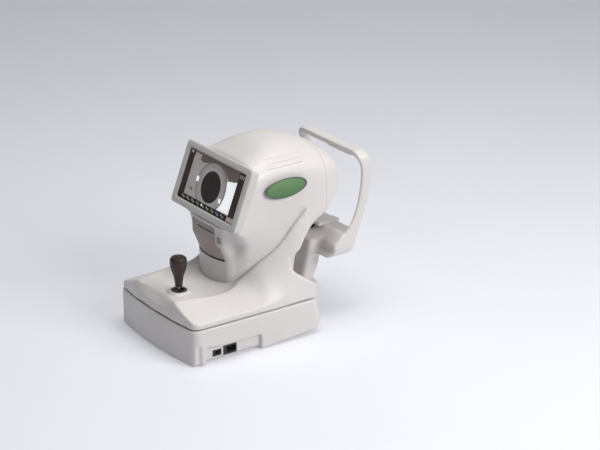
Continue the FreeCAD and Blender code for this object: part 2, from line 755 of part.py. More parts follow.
def door_region(bottom, gap):
    """The door's part of the column's front. The slanted edge gets more room, as it swings up on opening."""
    rise = 3 * gap
    outline = [(-55 - gap, 262 + gap), (38 + gap, 262 + gap), (38 + gap, 228 + rise),
               (52 + gap, 198 + rise), (52 + gap, bottom), (-55 - gap, bottom)]
    return prism(outline, "xz", back(120), back(170))


def printer_column():
    """The column's shell, the paper door in its front, and the catch that lets the door go."""
    low = size("head_bottom")
    outer = column_body(0, low)
    inner = column_body(wall, low - 5).common(block(-200, 200, back(100), back(300), 0, 266))
    shell = outer.cut(inner)
    shell = shell.cut(head_hull(0))
    shell = shell.cut(block(-70, 70, back(184), back(240), 0, 300))
    shell = shell.cut(door_region(181.5, 0.5))
    shell = shell.cut(block(44.6, 57.4, back(130), back(170), 229.6, 244.4))
    from_shape("printer_column", shell)
    door = outer.common(door_region(186, 0)).cut(column_body(wall - 0.2, low - 5))
    slot = prism([(back(140), 247), (back(165), 247), (back(165), 250), (back(140), 250)], "yz", -33, 33)
    door = door.cut(slot)
    hinge_y = back(156.5)
    for side in (-1, 1):
        x = side * 30
        door = door.fuse(rod(x - 5, hinge_y, 188, 2, 10, Vec(1, 0, 0)))
    parts = sorted(door.Solids, key=lambda part: part.Volume)
    from_shape("printer_door", parts[-1])
    from_shape("door_catch", block(45, 57, back(147.5), back(154), 230, 244))


def printer_inside():
    """The print head block over the paper roll, and the rubber roller that draws the paper."""
    body = block(-44, 44, back(158), back(188), 238, 256)
    body = body.cut(block(-36, 36, back(150), back(171), 230, 252))
    from_shape("printer_mechanism", body)
    keep(bound_rod("platen_roller", "sizes.roller_dia / 2", "sizes.paper_width + 8",
                   "-sizes.paper_width / 2 - 4", "163.5 - sizes.overall_depth / 2", "243.5", Vec(1, 0, 0)),
         "platen_roller")


def paper_roll():
    y = back(193)
    level = 211
    radius = size("paper_roll_dia") / 2
    half = size("paper_width") / 2
    core = rod(-half, y, level, radius, 2 * half, Vec(1, 0, 0))
    from_shape("paper_roll", core.cut(rod(-half - 3, y, level, 6.1, 2 * half + 6, Vec(1, 0, 0))))
    spindle = rod(-34, y, level, 6, 68, Vec(1, 0, 0))
    for side in (-1, 1):
        spindle = spindle.fuse(block(side * 36 - 2, side * 36 + 2, y - 4, y + 10, level - 10, 262))
    from_shape("paper_spindle", spindle)


# ---------------------------------------------------------------- monitor
def rounded_slab(width, height, thick, radius):
    slab = Part.makeBox(width, height, thick, Vec(-width / 2, -height / 2, 0))
    upright = [edge for edge in slab.Edges if abs(edge.Length - thick) < 1e-6]
    return slab.makeFillet(radius, upright)


def tapered_slab(low, high, thick, radius):
    """A rounded slab whose lower face is smaller than its upper one."""
    rings = []
    for (width, height), z in ((low, 0), (high, thick)):
        slab = rounded_slab(width, height, 1, radius)
        floor = min(slab.Faces, key=lambda face: face.CenterOfMass.z)
        ring = floor.OuterWire.copy()
        ring.translate(Vec(0, 0, z))
        rings.append(ring)
    return Part.makeLoft(rings, True, True)


def monitor():
    wide = size("monitor_width")
    high = size("monitor_height")
    bezel_thick = size("bezel_thick")
    deep = size("monitor_thick") - bezel_thick
    glass_wide = size("glass_width")
    glass_high = size("glass_height")
    bezel = rounded_slab(wide, high, bezel_thick, 9)
    bezel = bezel.cut(rounded_slab(glass_wide + 0.6, glass_high + 0.6, bezel_thick, 2))
    keep_placed("monitor_bezel", bezel, bezel_thick)
    glass = rounded_slab(glass_wide, glass_high, 2, 2)
    keep_placed("monitor_glass", glass, 4.5)
    panel = rounded_slab(glass_wide + 6, glass_high + 6, 6, 2)
    keep_placed("display_panel", panel, bezel_thick + 6)
    back_wide = size("monitor_back_width")
    back_high = size("monitor_back_height")
    shell = tapered_slab((back_wide, back_high), (wide, high), deep, 9)
    hollow = tapered_slab((back_wide - 6, back_high - 6), (wide - 6, high - 6), deep, 7)
    hollow.translate(Vec(0, 0, wall))
    shell = shell.cut(hollow)
    passage = Part.makeBox(70, 50, 10, Vec(-35, -25, -2))
    shell = shell.cut(passage)
    keep_placed("monitor_back", shell, size("monitor_thick"))


def keep_placed(label, shape, depth):
    item = doc.addObject("Part::Feature", label)
    item.Shape = shape
    item.Placement = monitor_placement(depth)
    return keep(item, label)


# ---------------------------------------------------------------- head inside
def head_frame():
    """The lift bracket, its web and the shelf that carries the optics, in one casting."""
    bracket = block(-78, 78, back(275), back(305), 160, 200)
    web = block(-78, 78, back(298), back(306), 200, 264)
    shelf = block(-96, 96, back(208), back(372), 262, 268)
    frame = bracket.fuse(web).fuse(shelf)
    for side in (-1, 1):
        x = side * size("column_spacing") / 2
        frame = frame.cut(rod(x, back(290), 150, 11, 60))
        frame = frame.cut(rod(x, back(290), 190, 9, 90))
    frame = frame.cut(rod(0, back(290), 150, 10, 60))
    frame = frame.cut(rod(0, back(290), 190, 8, 90))
    for reach in (262, 360):
        for side in (-1, 1):
            x = side * 30
            frame = frame.fuse(rod(x, back(reach), 268, 6, size("optical_height") - 40 - 268))
    return from_shape("head_frame", frame)


def lift_bushes():
    bore = (size("column_dia") + size("shaft_fit")) / 2
    bushes = []
    for side in (-1, 1):
        x = side * size("column_spacing") / 2
        bushes.append(rod(x, back(290), 160, 11, 40).cut(rod(x, back(290), 150, bore, 60)))
    from_shape("lift_bushes", Part.Compound(bushes))
    nut = rod(0, back(290), 160, 10, 40)
    nut = nut.cut(rod(0, back(290), 150, size("lift_screw_dia") / 2 + 0.06, 60))
    from_shape("lift_nut", nut)


def optics():
    """The optical path along Y, from the patient's window back to the camera."""
    axis = size("optical_height")
    shelf = axis - 40
    window = size("window_dia") / 2
    along = Vec(0, 1, 0)
    tube = rod(0, back(340), axis, 28, 98, along).cut(rod(0, back(335), axis, 24, 92, along))
    tube = tube.cut(rod(0, back(420), axis, 22.1, 30, along))
    saddle = block(-34, 34, back(342), back(398), shelf + 8, axis - 20)
    tube = tube.fuse(saddle.cut(rod(0, back(330), axis, 27.5, 120, along)))
    from_shape("optical_tube", tube)
    lens = rod(0, back(427), axis, 22, 7, along)
    bulge = Part.makeSphere(60, Vec(0, back(427) - 49, axis))
    bulge = bulge.common(rod(0, back(427), axis, 21.5, 15, along))
    from_shape("objective_lens", lens.fuse(bulge))
    ring = rod(0, back(441), axis, 27, 4, along).cut(rod(0, back(440), axis, 16, 10, along))
    from_shape("light_ring", ring)
    from_shape("measuring_window", rod(0, back(455.2), axis, window - 0.2, 2.6, along))
    turned_body("window_rim", [(window + 0.2, 0), (window + 4, 0), (window + 4, 1.5), (window + 2, 3),
                               (window + 0.2, 3)], y=back(458), z=axis, axis=Vec(1, 0, 0), angle=-90)
    bench = block(-40, 40, back(238), back(398), shelf, shelf + 8)
    housing = prism([(-16, back(300)), (16, back(300)), (16, back(332)), (-16, back(332))], "xy", shelf + 8,
                    axis + 18)
    housing = housing.cut(rod(0, back(295), axis, 12, 45, along))
    housing = housing.cut(rod(-30, back(316), axis, 11.5, 60, Vec(1, 0, 0)))
    from_shape("optical_bench", bench.fuse(housing))
    from_shape("beam_splitter", block(-8, 8, back(308), back(324), axis - 8, axis + 8).fuse(
        rod(0, back(316), axis - 11.4, 5, 3.6)))
    camera = block(-18, 18, back(242), back(278), shelf + 8, axis + 16)
    camera = camera.fuse(rod(0, back(277), axis, 11, 19, along))
    from_shape("camera", camera)
    board = block(-78, 78, back(226), back(228), 290, 392)
    for x, height, wide, tall in ((-40, 330, 34, 34), (20, 350, 24, 24), (50, 310, 20, 30),
                                  (-10, 372, 40, 12)):
        board = board.fuse(block(x - wide / 2, x + wide / 2, back(228), back(231), height - tall / 2,
                                 height + tall / 2))
    for x in (-70, 70):
        board = board.fuse(block(x - 4, x + 4, back(222), back(228), 268, 296))
    from_shape("main_board", board)


def badges():
    """A plain oval badge on each flank of the head."""
    pieces = []
    tilt = 2
    oval = Part.Face(Part.Wire(Part.Ellipse(Vec(0, 0, 0), 55.5, 22.5).toShape()))
    plate = oval.extrude(Vec(0, 0, 2.2))
    plate.rotate(Vec(0, 0, 0), Vec(0, 0, 1), tilt)
    plate.rotate(Vec(0, 0, 0), Vec(1, 0, 0), 90)
    plate.rotate(Vec(0, 0, 0), Vec(0, 0, 1), 90)
    plate.translate(Vec(size("head_half_width"), back(281), 355))
    limit = head_hull(0)
    right = plate.cut(limit)
    for solid in (right, mirrored(right)):
        pieces.append(solid)
    from_shape("side_badges", Part.Compound(pieces))


# ---------------------------------------------------------------- headrest
def hoop_solid(widen=0):
    """The headrest's closed hoop, leaning back as it rises, with a deep lower bar."""
    band = profile_face([
        ("smooth", [(463, 150), (477, 193), (496, 238), (509, 285), (516, 325), (517, 360), (513, 380),
                    (506, 396)]),
        ("straight", [(506, 396), (492, 396), (482, 386), (482, 377)]),
        ("smooth", [(482, 377), (489, 360), (491, 335), (487, 300), (478, 262), (463, 228), (448, 207)]),
        ("straight", [(448, 207), (441, 205), (413, 182), (417, 150), (463, 150)]),
    ])
    half = size("hoop_half_width")
    solid = centred_extrusion(band, half)
    low = size("hoop_bottom")
    top = size("hoop_top")
    outer = block(-half, half, back(380), back(530), low, top)
    corners = [edge for edge in outer.Edges if edge.Length > 149 and edge.Length < 151]
    outer = outer.makeFillet(34, corners)
    inner_half = half - size("hoop_band")
    inner = block(-inner_half, inner_half, back(370), back(540), low + 55, top - size("top_bar"))
    corners = [edge for edge in inner.Edges if edge.Length > 169 and edge.Length < 171]
    inner = inner.makeFillet(25, corners)
    return solid.common(outer).cut(inner)


def headrest():
    shaft_y = back(size("chin_reach") - 30)
    bore = (size("chin_shaft_dia") + size("shaft_fit")) / 2
    hoop = hoop_solid()
    hoop = hoop.cut(rod(0, shaft_y, 100, bore, 200))
    hoop = hoop.cut(rod(0, shaft_y, size("hoop_bottom") + 42, 19, 60))
    post = post_blank()
    post = post.common(block(-60, 60, back(340), back(460), 25.5, 178))
    post = post.cut(hoop_solid())
    post = post.cut(rod(0, shaft_y, 90, bore + 1.5, 120))
    upright = [edge for edge in post.Edges if edge.Length > 60 and abs(edge.BoundBox.XLength) < 1
               and edge.BoundBox.YMin > back(375)]
    post = post.makeFillet(9, upright)
    from_shape("headrest_frame", hoop)
    from_shape("headrest_post", post)
    return shaft_y


def chin_rest(shaft_y):
    """The chin rest on its threaded shaft; a knurled ring let into the lower bar lifts it."""
    low = size("hoop_bottom") + 42.3
    shaft = bound_rod("chin_shaft", "sizes.chin_shaft_dia / 2", "90", "0", "%.3f" % shaft_y, "118")
    keep(shaft, "chin_shaft")
    teeth = 36
    ring = rod(0, shaft_y, low, 18, 12).cut(rod(0, shaft_y, low - 5, size("chin_shaft_dia") / 2 + 0.08, 30))
    for index in range(teeth):
        angle = 2 * math.pi * index / teeth
        ring = ring.cut(rod(18.6 * math.cos(angle), shaft_y + 18.6 * math.sin(angle), low - 2, 1.1, 20))
    from_shape("chin_ring", ring)
    tray = prism([(back(425), 206), (back(472), 206), (back(482), 209), (back(484), 212), (back(480), 214),
                  (back(425), 214)], "yz", -46, 46)
    dish = rod(0, back(540), 319.5, 110, 140, Vec(0, -1, 0))
    tray = tray.cut(dish)
    tray = tray.fuse(rod(0, shaft_y, 204.8, 12, 3.2))
    tray = tray.cut(rod(0, shaft_y, 200, size("chin_shaft_dia") / 2, 8))
    from_shape("chin_rest", tray)


def forehead_pad():
    """A soft pad hooked over the patient's side of the top bar."""
    pad_shape = block(-52, 52, back(505), back(521), 358, 392)
    ends = [edge for edge in pad_shape.Edges if edge.BoundBox.YLength > 3]
    pad_shape = pad_shape.makeFillet(11, ends)
    behind = centred_extrusion(profile_face([
        ("smooth", [(513.6, 350), (513.6, 366), (509.5, 381), (502.5, 397)]),
        ("straight", [(502.5, 397), (540, 397), (540, 350), (513.6, 350)])]), 60)
    pad_shape = pad_shape.common(behind).cut(hoop_solid())
    from_shape("forehead_pad", sorted(pad_shape.Solids, key=lambda part: part.Volume)[-1])


# ---------------------------------------------------------------- fasteners
def fasteners():
    screws = []
    level = size("plate_bottom")
    for side in (-1, 1):
        for reach in (60, 190, 300):
            x = side * 100
            head = rod(x, back(reach), level - 2.6, 4, 2.6)
            screws.append(head.cut(rod(x, back(reach), level - 3, 1.6, 2)))
    from_shape("base_screws", Part.Compound(screws))
    screws = []
    top = size("carriage_plate_bottom") + size("carriage_plate_thick")
    for side in (-1, 1):
        for reach in (125, 225):
            x = side * 26
            head = rod(x, back(reach), top, 4.5, 4)
            screws.append(head.cut(rod(x, back(reach), top + 2, 2, 4)))
    from_shape("stage_screws", Part.Compound(screws))


# ---------------------------------------------------------------- the whole instrument
base_casing()
base_bottom_plate()
rubber_feet()
sockets()
power_switch()
power_supply()
guide_shafts()
shaft_supports()
stage_bushes()
cross_slide()
carriage_cover()
carriage_plate()
lift_drive()
joystick()
head_shells()
printer_column()
printer_inside()
paper_roll()
monitor()
head_frame()
lift_bushes()
optics()
badges()
chin_y = headrest()
chin_rest(chin_y)
forehead_pad()
fasteners()
doc.recompute()

for item in doc.Objects:
    if "Invalid" in item.State or "Error" in item.State:
        raise RuntimeError("%s did not recompute" % item.Label)
os.makedirs("parts", exist_ok=True)
for item in subparts:
    if item.Shape.isNull() or not item.Shape.isValid():
        raise RuntimeError("%s has no valid shape" % item.Label)
for item in subparts:
    item.Shape.exportStep("parts/%s.step" % item.Label)
print("%d sub-parts" % len(subparts))
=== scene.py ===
"""The looks of the autorefractor: smooth moulded skins, screen picture, materials, camera and light."""
import json
import math

import bmesh
import bpy
import numpy as np
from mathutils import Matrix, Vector


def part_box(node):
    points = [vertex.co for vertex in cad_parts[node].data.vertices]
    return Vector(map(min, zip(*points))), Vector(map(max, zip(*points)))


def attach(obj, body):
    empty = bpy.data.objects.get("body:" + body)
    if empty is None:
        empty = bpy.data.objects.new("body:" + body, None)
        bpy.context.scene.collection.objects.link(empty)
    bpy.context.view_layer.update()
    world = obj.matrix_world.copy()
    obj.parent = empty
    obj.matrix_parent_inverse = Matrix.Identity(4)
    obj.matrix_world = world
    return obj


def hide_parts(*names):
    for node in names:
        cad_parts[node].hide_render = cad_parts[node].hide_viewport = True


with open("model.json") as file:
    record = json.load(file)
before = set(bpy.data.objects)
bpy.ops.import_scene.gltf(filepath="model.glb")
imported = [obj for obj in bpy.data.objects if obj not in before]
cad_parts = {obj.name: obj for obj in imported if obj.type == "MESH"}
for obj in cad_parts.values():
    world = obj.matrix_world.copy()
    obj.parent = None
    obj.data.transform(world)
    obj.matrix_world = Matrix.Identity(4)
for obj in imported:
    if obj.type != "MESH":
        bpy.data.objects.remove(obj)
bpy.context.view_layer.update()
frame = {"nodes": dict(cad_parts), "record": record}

MM = 0.001
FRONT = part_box("base_casing")[0][1] / MM          # Y of the base's front face, mm
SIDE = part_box("base_casing")[1][0] / MM           # half the width of the base, mm


# ---------------------------------------------------------------- camera
CAMERA_AZIMUTH = 55.0
CAMERA_ELEVATION = 21.6
CAMERA_DISTANCE = 4.5
CAMERA_LENS = 123.6
CAMERA_TARGET = Vector((0.205, 0.0, 0.298))


def away_from_origin(azimuth, elevation):
    """The direction towards a camera or a lamp; azimuth 0 is in front of the object."""
    turn = math.radians(azimuth)
    lift = math.radians(elevation)
    return Vector((math.sin(turn) * math.cos(lift), -math.cos(turn) * math.cos(lift), math.sin(lift)))


def place_camera():
    away = away_from_origin(CAMERA_AZIMUTH, CAMERA_ELEVATION)
    data = bpy.data.cameras.new("camera")
    data.lens = CAMERA_LENS
    data.sensor_width = 36
    data.clip_end = 60
    camera = bpy.data.objects.new("camera", data)
    camera.location = CAMERA_TARGET + away * CAMERA_DISTANCE
    camera.rotation_euler = (-away).to_track_quat("-Z", "Y").to_euler()
    bpy.context.collection.objects.link(camera)
    bpy.context.scene.camera = camera


place_camera()


# ---------------------------------------------------------------- implicit shapes, in millimetres
def softmax(a, b, radius):
    """The larger of two distances, with the corner between them rounded."""
    blend = np.maximum(radius - np.abs(a - b), 0) / radius
    return np.maximum(a, b) + blend * blend * radius / 4


def softmin(a, b, radius):
    """The smaller of two distances, with the corner between them filled."""
    return -softmax(-a, -b, radius)


def true_distance(shape):
    """Divides a shape's value by its slope, which makes it a distance near the surface."""
    step = 0.5

    def measured(x, reach, z):
        value = shape(x, reach, z)
        slope_x = (shape(x + step, reach, z) - value) / step
        slope_y = (shape(x, reach + step, z) - value) / step
        slope_z = (shape(x, reach, z + step) - value) / step
        return value / np.sqrt(slope_x ** 2 + slope_y ** 2 + slope_z ** 2 + 1e-6)

    return measured


def eased(keys):
    """A smooth curve through (place, value) keys, flat beyond its ends."""
    places = np.array([key[0] for key in keys], dtype=float)
    values = np.array([key[1] for key in keys], dtype=float)
    slopes = np.gradient(values, places)

    def curve(at):
        at = np.clip(at, places[0], places[-1])
        index = np.clip(np.searchsorted(places, at) - 1, 0, len(places) - 2)
        span = places[index + 1] - places[index]
        t = (at - places[index]) / span
        a = values[index]
        b = values[index + 1]
        da = slopes[index] * span
        db = slopes[index + 1] * span
        return ((2 * t ** 3 - 3 * t ** 2 + 1) * a + (t ** 3 - 2 * t ** 2 + t) * da
                + (-2 * t ** 3 + 3 * t ** 2) * b + (t ** 3 - t ** 2) * db)

    return curve


def ramp(keys):
    """Straight runs through (place, value) keys."""
    places = [key[0] for key in keys]
    values = [key[1] for key in keys]
    return lambda at: np.interp(at, places, values)


def rounded_box(a, b, half_a, half_b, radius):
    """Distance to a rounded rectangle centred on zero."""
    qa = np.abs(a) - (half_a - radius)
    qb = np.abs(b) - (half_b - radius)
    outside = np.hypot(np.maximum(qa, 0), np.maximum(qb, 0))
    return outside + np.minimum(np.maximum(qa, qb), 0) - radius


def smooth_step(t):
    """Rises from 0 to 1 with level ends."""
    t = np.clip(t, 0, 1)
    return t * t * (3 - 2 * t)


# ---------------------------------------------------------------- mesh from an implicit shape
def surface_net(shape, low, high, pitch):
    """Vertices and quads of the surface where the shape is zero inside a box."""
    low = np.array(low, dtype=float)
    counts = np.ceil((np.array(high) - low) / pitch).astype(int) + 1
    axes = [low[i] + pitch * np.arange(counts[i]) for i in range(3)]
    x, reach, z = np.meshgrid(*axes, indexing="ij")
    values = shape(x.ravel(), reach.ravel(), z.ravel()).reshape(counts)
    inside = values < 0
    cells = tuple(counts - 1)
    crossing_sum = np.zeros(cells + (3,))
    crossing_count = np.zeros(cells)
    grid = np.stack([x, reach, z], axis=-1)
    quads = []
    for axis in range(3):
        first = [slice(None)] * 3
        second = [slice(None)] * 3
        first[axis] = slice(0, -1)
        second[axis] = slice(1, None)
        first, second = tuple(first), tuple(second)
        change = inside[first] != inside[second]
        part = values[first] / (values[first] - values[second] + 1e-12)
        spot = grid[first] + (grid[second] - grid[first]) * part[..., None]
        others = [i for i in range(3) if i != axis]
        for da in (0, 1):
            for db in (0, 1):
                pick = [slice(0, cells[0]), slice(0, cells[1]), slice(0, cells[2])]
                pick[others[0]] = slice(da, da + cells[others[0]])
                pick[others[1]] = slice(db, db + cells[others[1]])
                pick = tuple(pick)
                crossing_sum += np.where(change[pick][..., None], spot[pick], 0)
                crossing_count += change[pick]
    used = crossing_count > 0
    number = -np.ones(cells, dtype=int)
    number[used] = np.arange(used.sum())
    vertices = crossing_sum[used] / crossing_count[used][:, None]
    for axis in range(3):
        others = [i for i in range(3) if i != axis]
        first = [slice(1, -1)] * 3
        second = [slice(1, -1)] * 3
        first[axis] = slice(0, -1)
        second[axis] = slice(1, None)
        start_inside = inside[tuple(first)]
        end_inside = inside[tuple(second)]
        for flip, spots in ((False, np.argwhere(start_inside & ~end_inside)),
                            (True, np.argwhere(~start_inside & end_inside))):
            if not len(spots):
                continue
            base = spots.copy()
            for other in others:
                base[:, other] += 1
            ring = []
            for da, db in ((0, 0), (1, 0), (1, 1), (0, 1)):
                cell = base.copy()
                cell[:, others[0]] -= da
                cell[:, others[1]] -= db
                ring.append(number[cell[:, 0], cell[:, 1], cell[:, 2]])
            face = np.stack(ring, axis=1)
            if flip != (axis == 1):
                face = face[:, ::-1]
            quads.append(face)
    return vertices, np.concatenate(quads)


def settle(shape, vertices, quads, pitch, rounds):
    """Evens out the vertices along the surface and draws each one onto it."""
    pairs = np.concatenate([quads[:, [0, 1]], quads[:, [1, 2]], quads[:, [2, 3]], quads[:, [3, 0]]])
    both = np.concatenate([pairs, pairs[:, ::-1]])
    degree = np.bincount(both[:, 0], minlength=len(vertices))[:, None]
    step = 0.4
    for _ in range(rounds):
        mean = np.zeros_like(vertices)
        for column in range(3):
            mean[:, column] = np.bincount(both[:, 0], weights=vertices[both[:, 1], column],
                                          minlength=len(vertices))
        vertices = vertices + 0.5 * (mean / degree - vertices)
        for _ in range(2):
            value = shape(*vertices.T)
            slope = np.stack([(shape(*(vertices + step * unit).T) - value) / step
                              for unit in np.eye(3)], axis=1)
            length = np.sum(slope ** 2, axis=1)
            move = np.clip(value / np.maximum(length, 0.05), -pitch, pitch)
            vertices = vertices - slope * move[:, None]
    return vertices


def moulded(name, shape, low, high, pitch, rounds=4):
    """A smooth mesh object of an implicit shape given in millimetres of x, reach and z."""
    vertices, quads = surface_net(shape, low, high, pitch)
    vertices = settle(shape, vertices, quads, pitch, rounds)
    vertices[:, 1] += FRONT
    mesh = bpy.data.meshes.new(name)
    mesh.from_pydata((vertices * MM).tolist(), [], quads.tolist())
    mesh.update()
    return new_object(name, mesh)


def new_object(name, mesh, smooth=True):
    item = bpy.data.objects.new(name, mesh)
    bpy.context.collection.objects.link(item)
    if smooth:
        mesh.shade_smooth()
    return item


def closed_solid(name, rings):
    """A closed solid through rings of points, in millimetres of x, reach and z."""
    mesh = bmesh.new()
    loops = [[mesh.verts.new(Vector((x, reach + FRONT, z)) * MM) for x, reach, z in ring] for ring in rings]
    for first, second in zip(loops, loops[1:]):
        for i in range(len(first)):
            j = (i + 1) % len(first)
            mesh.faces.new((first[i], first[j], second[j], second[i]))
    mesh.faces.new(loops[0][::-1])
    mesh.faces.new(loops[-1])
    bmesh.ops.recalc_face_normals(mesh, faces=mesh.faces)
    data = bpy.data.meshes.new(name)
    mesh.to_mesh(data)
    mesh.free()
    return new_object(name, data, smooth=False)


# ---------------------------------------------------------------- head
HEAD_SIDE = 122.0
SHOULDER = 335.0          # height where the flanks turn into the crown
FLARE_TOP = 292.0         # height where the flanks reach their full width
FLARE_START = 20.0        # how far below the waist they begin to widen
BROW_TOP = 274.0          # below this height the head's front corners grow rounder
BROW_FALL = 26.0
SHARP_BROW = 5.0
SOFT_BROW = 19.0
HEAD_MIDDLE = 250.0
HEAD_PLAN_HALF = 124.0
HEAD_PLAN_LENGTH = 416.0
HEAD_PLAN_CORNER = 75.0
waist = eased([(140, 72), (184, 74), (225, 90), (265, 104), (305, 112), (345, 115), (475, 116)])
waist_height = eased([(140, 150), (184, 160), (225, 185), (265, 205), (305, 225), (345, 240), (475, 240)])
crown = eased([(140, 380), (184, 398), (225, 418), (265, 434), (305, 441), (345, 437), (400, 418),
               (440, 391), (475, 352)])
squareness = eased([(140, 5.0), (184, 4.4), (225, 3.2), (265, 2.6), (305, 2.35), (345, 2.3), (475, 2.5)])
head_front = ramp([(90, 184), (225, 184), (268, 155), (470, 232.5)])
head_rear = eased([(90, 316), (160, 316), (180, 320), (199, 332), (222, 349), (245, 366), (275, 408),
                   (305, 446), (330, 480), (480, 520)])
wing_rear = ramp([(80, 345), (108, 345), (121, 341), (149, 300), (151, 297), (166, 286), (192, 289),
                  (197, 301), (206, 312), (250, 337), (310, 343)])


def head_section(x, reach, z):
    """A section across the head: flanks that widen upwards under a crown shaped like a super-ellipse."""
    start = waist_height(reach) - FLARE_START
    flare = smooth_step((z - start) / (FLARE_TOP - start))
    half = waist(reach) + (HEAD_SIDE - waist(reach)) * flare
    power = squareness(reach)
    rise = np.maximum(z - SHOULDER, 0) / (crown(reach) - SHOULDER)
    return 100 * (((np.abs(x) / half) ** power + rise ** power) ** (1 / power) - 1)


def head_shape(x, reach, z):
    """The head without its column, cut to its plan and to its front and rear outlines."""
    body = true_distance(head_section)(x, reach, z)
    plan = rounded_box(x, reach - HEAD_MIDDLE, HEAD_PLAN_HALF, HEAD_PLAN_LENGTH / 2, HEAD_PLAN_CORNER)
    body = softmax(body, plan, 26)
    front = true_distance(lambda a, b, c: head_front(c) - b)(x, reach, z)
    rear = true_distance(lambda a, b, c: b - head_rear(c))(x, reach, z)
    body = softmax(body, rear, 16)
    return softmax(body, front, SHARP_BROW + SOFT_BROW * smooth_step((BROW_TOP - z) / BROW_FALL))


COLUMN_HALF = 64.0
COLUMN_BACK = 240.0
COLUMN_TOP = 270.0
COLUMN_BLEND = 22.0
column_middle = ramp([(90, 149), (187, 151), (226, 144), (300, 144)])
column_bow = ramp([(90, 18), (187, 16), (226, 4.5), (300, 4.5)])
column_half = ramp([(90, 64), (187, 64), (226, 66), (300, 66)])


def column_shape(x, reach, z):
    """The bowed column below the screen."""
    bowed = true_distance(lambda a, b, c: column_middle(c) + column_bow(c) * (a / COLUMN_HALF) ** 2 - b)
    body = softmax(np.abs(x) - column_half(z), bowed(x, reach, z), 10)
    body = softmax(body, reach - COLUMN_BACK, 3)
    return softmax(body, z - COLUMN_TOP, 3)


def head_body(x, reach, z):
    return softmin(head_shape(x, reach, z), column_shape(x, reach, z), COLUMN_BLEND)


HEAD_BOTTOM = 104.0
NOSE_SEAM = 395.0
SEAM_SPARE = 8.0          # how far both skins run past the seam before they are trimmed to it


def casing_shape(x, reach, z):
    body = head_body(x, reach, z)
    body = softmax(body, HEAD_BOTTOM - z, 2)
    return softmax(body, reach - NOSE_SEAM - SEAM_SPARE, 1)


def nose_shape(x, reach, z):
    body = head_shape(x, reach, z)
    return softmax(body, NOSE_SEAM - SEAM_SPARE - reach, 1)


MONITOR_REACH = 160.0
MONITOR_MIDDLE = 349.0
MONITOR_TILT = math.radians(21)
MONITOR_HALF_WIDE = 131.0
MONITOR_HALF_HIGH = 74.0
MONITOR_CORNER = 9.0
MONITOR_THICK = 24.5
MONITOR_SEAM = 0.8
BEZEL_DEEP = 7.0          # behind this depth the housing tapers
HOUSING_TAPER = 0.24
WINDOW_HALF_WIDE = 113.2
WINDOW_HALF_HIGH = 58.2
WINDOW_DEEP = 8.0


def on_screen(x, reach, z):
    """Across, up and out of the tilted screen, from the middle of its face."""
    out = -(reach - MONITOR_REACH) * math.cos(MONITOR_TILT) + (z - MONITOR_MIDDLE) * math.sin(MONITOR_TILT)
    up = (reach - MONITOR_REACH) * math.sin(MONITOR_TILT) + (z - MONITOR_MIDDLE) * math.cos(MONITOR_TILT)
    return x, up, out


def monitor_rim(across, up, out):
    """Distance to the tapering outline of the screen's housing."""
    outline = rounded_box(across, up, MONITOR_HALF_WIDE, MONITOR_HALF_HIGH, MONITOR_CORNER)
    return outline + HOUSING_TAPER * np.maximum(-BEZEL_DEEP - out, 0)


def monitor_shape(x, reach, z):
    """The housing, its face falling off towards the rim, with a bevelled window for the glass."""
    across, up, out = on_screen(x, reach, z)
    rim = monitor_rim(across, up, out)
    body = softmax(rim, out + 1.2 * smooth_step((8 + rim) / 8), 2.5)
    body = softmax(body, -MONITOR_THICK - out, 1)
    window = rounded_box(across, up, WINDOW_HALF_WIDE, WINDOW_HALF_HIGH, 2.5)
    bevel = 0.5 * np.maximum(out + 2.5, 0)
    return softmax(body, -softmax(window - bevel, -WINDOW_DEEP - out, 1), 1.2)


def monitor_room(x, reach, z):
    """The housing's outline, a seam's width larger."""
    across, up, out = on_screen(x, reach, z)
    return softmax(monitor_rim(across, up, out) - MONITOR_SEAM, np.abs(out + 12) - 14, 1)


# ---------------------------------------------------------------- carriage cover
crest_half = eased([(0, 70), (8, 74), (51, 85), (85, 95), (121, 101), (150, 97), (172, 90), (184, 88),
                    (225, 99.5), (250, 108), (278, 117), (306, 124), (350, 128)])
crest_height = eased([(0, 131), (121, 131), (150, 132.5), (184, 147), (225, 180), (250, 199), (278, 227),
                      (306, 262), (350, 306)])
LIP_TOP = 101.0
COVER_BOTTOM = 88.0
COVER_INSET = 2.0
PLATFORM_DISH = 3.4
STICK_SIDE = 27.0
STICK_REACH = 56.0
STICK_COLLAR = 20.0
STICK_HOLE = 17.0
CORNER = 24.0
FRONT_BOW = 10.0
BASE_REAR = 350.0


def base_plan(x, reach, inset, rear=BASE_REAR):
    """The plan of the base without the bulge behind: bowed front and rounded corners."""
    bow = FRONT_BOW * np.clip(np.abs(x) / (SIDE - CORNER), 0, 1) ** 2
    front = true_distance(lambda a, b, c: bow + inset - b)(x, reach, reach)
    side = np.abs(x) - (SIDE - inset)
    corner = CORNER - inset
    plan = softmax(side, front, corner)
    return softmax(plan, reach - rear + inset, corner)


def cover_top(x, reach, z):
    """The platform with its shallow dish, falling from the crest to the lip on both sides."""
    across = np.abs(x)
    edge = crest_half(reach)
    skirt = (across - edge) / (SIDE - 2.5 - edge)
    top = crest_height(reach) + (LIP_TOP - crest_height(reach)) * np.maximum(skirt, 0)
    dish = smooth_step((edge - 3 - across) / 14) * smooth_step((reach - 8) / 14)
    return z - (top - PLATFORM_DISH * dish)


def cover_front(x, reach, z):
    """The front face, which leans back most in the middle."""
    middle = np.clip(1 - (x / 74) ** 2, 0, 1)
    lean = 9 + 17 * middle
    return 2 + lean * np.maximum(z - LIP_TOP, 0) / 29 - reach


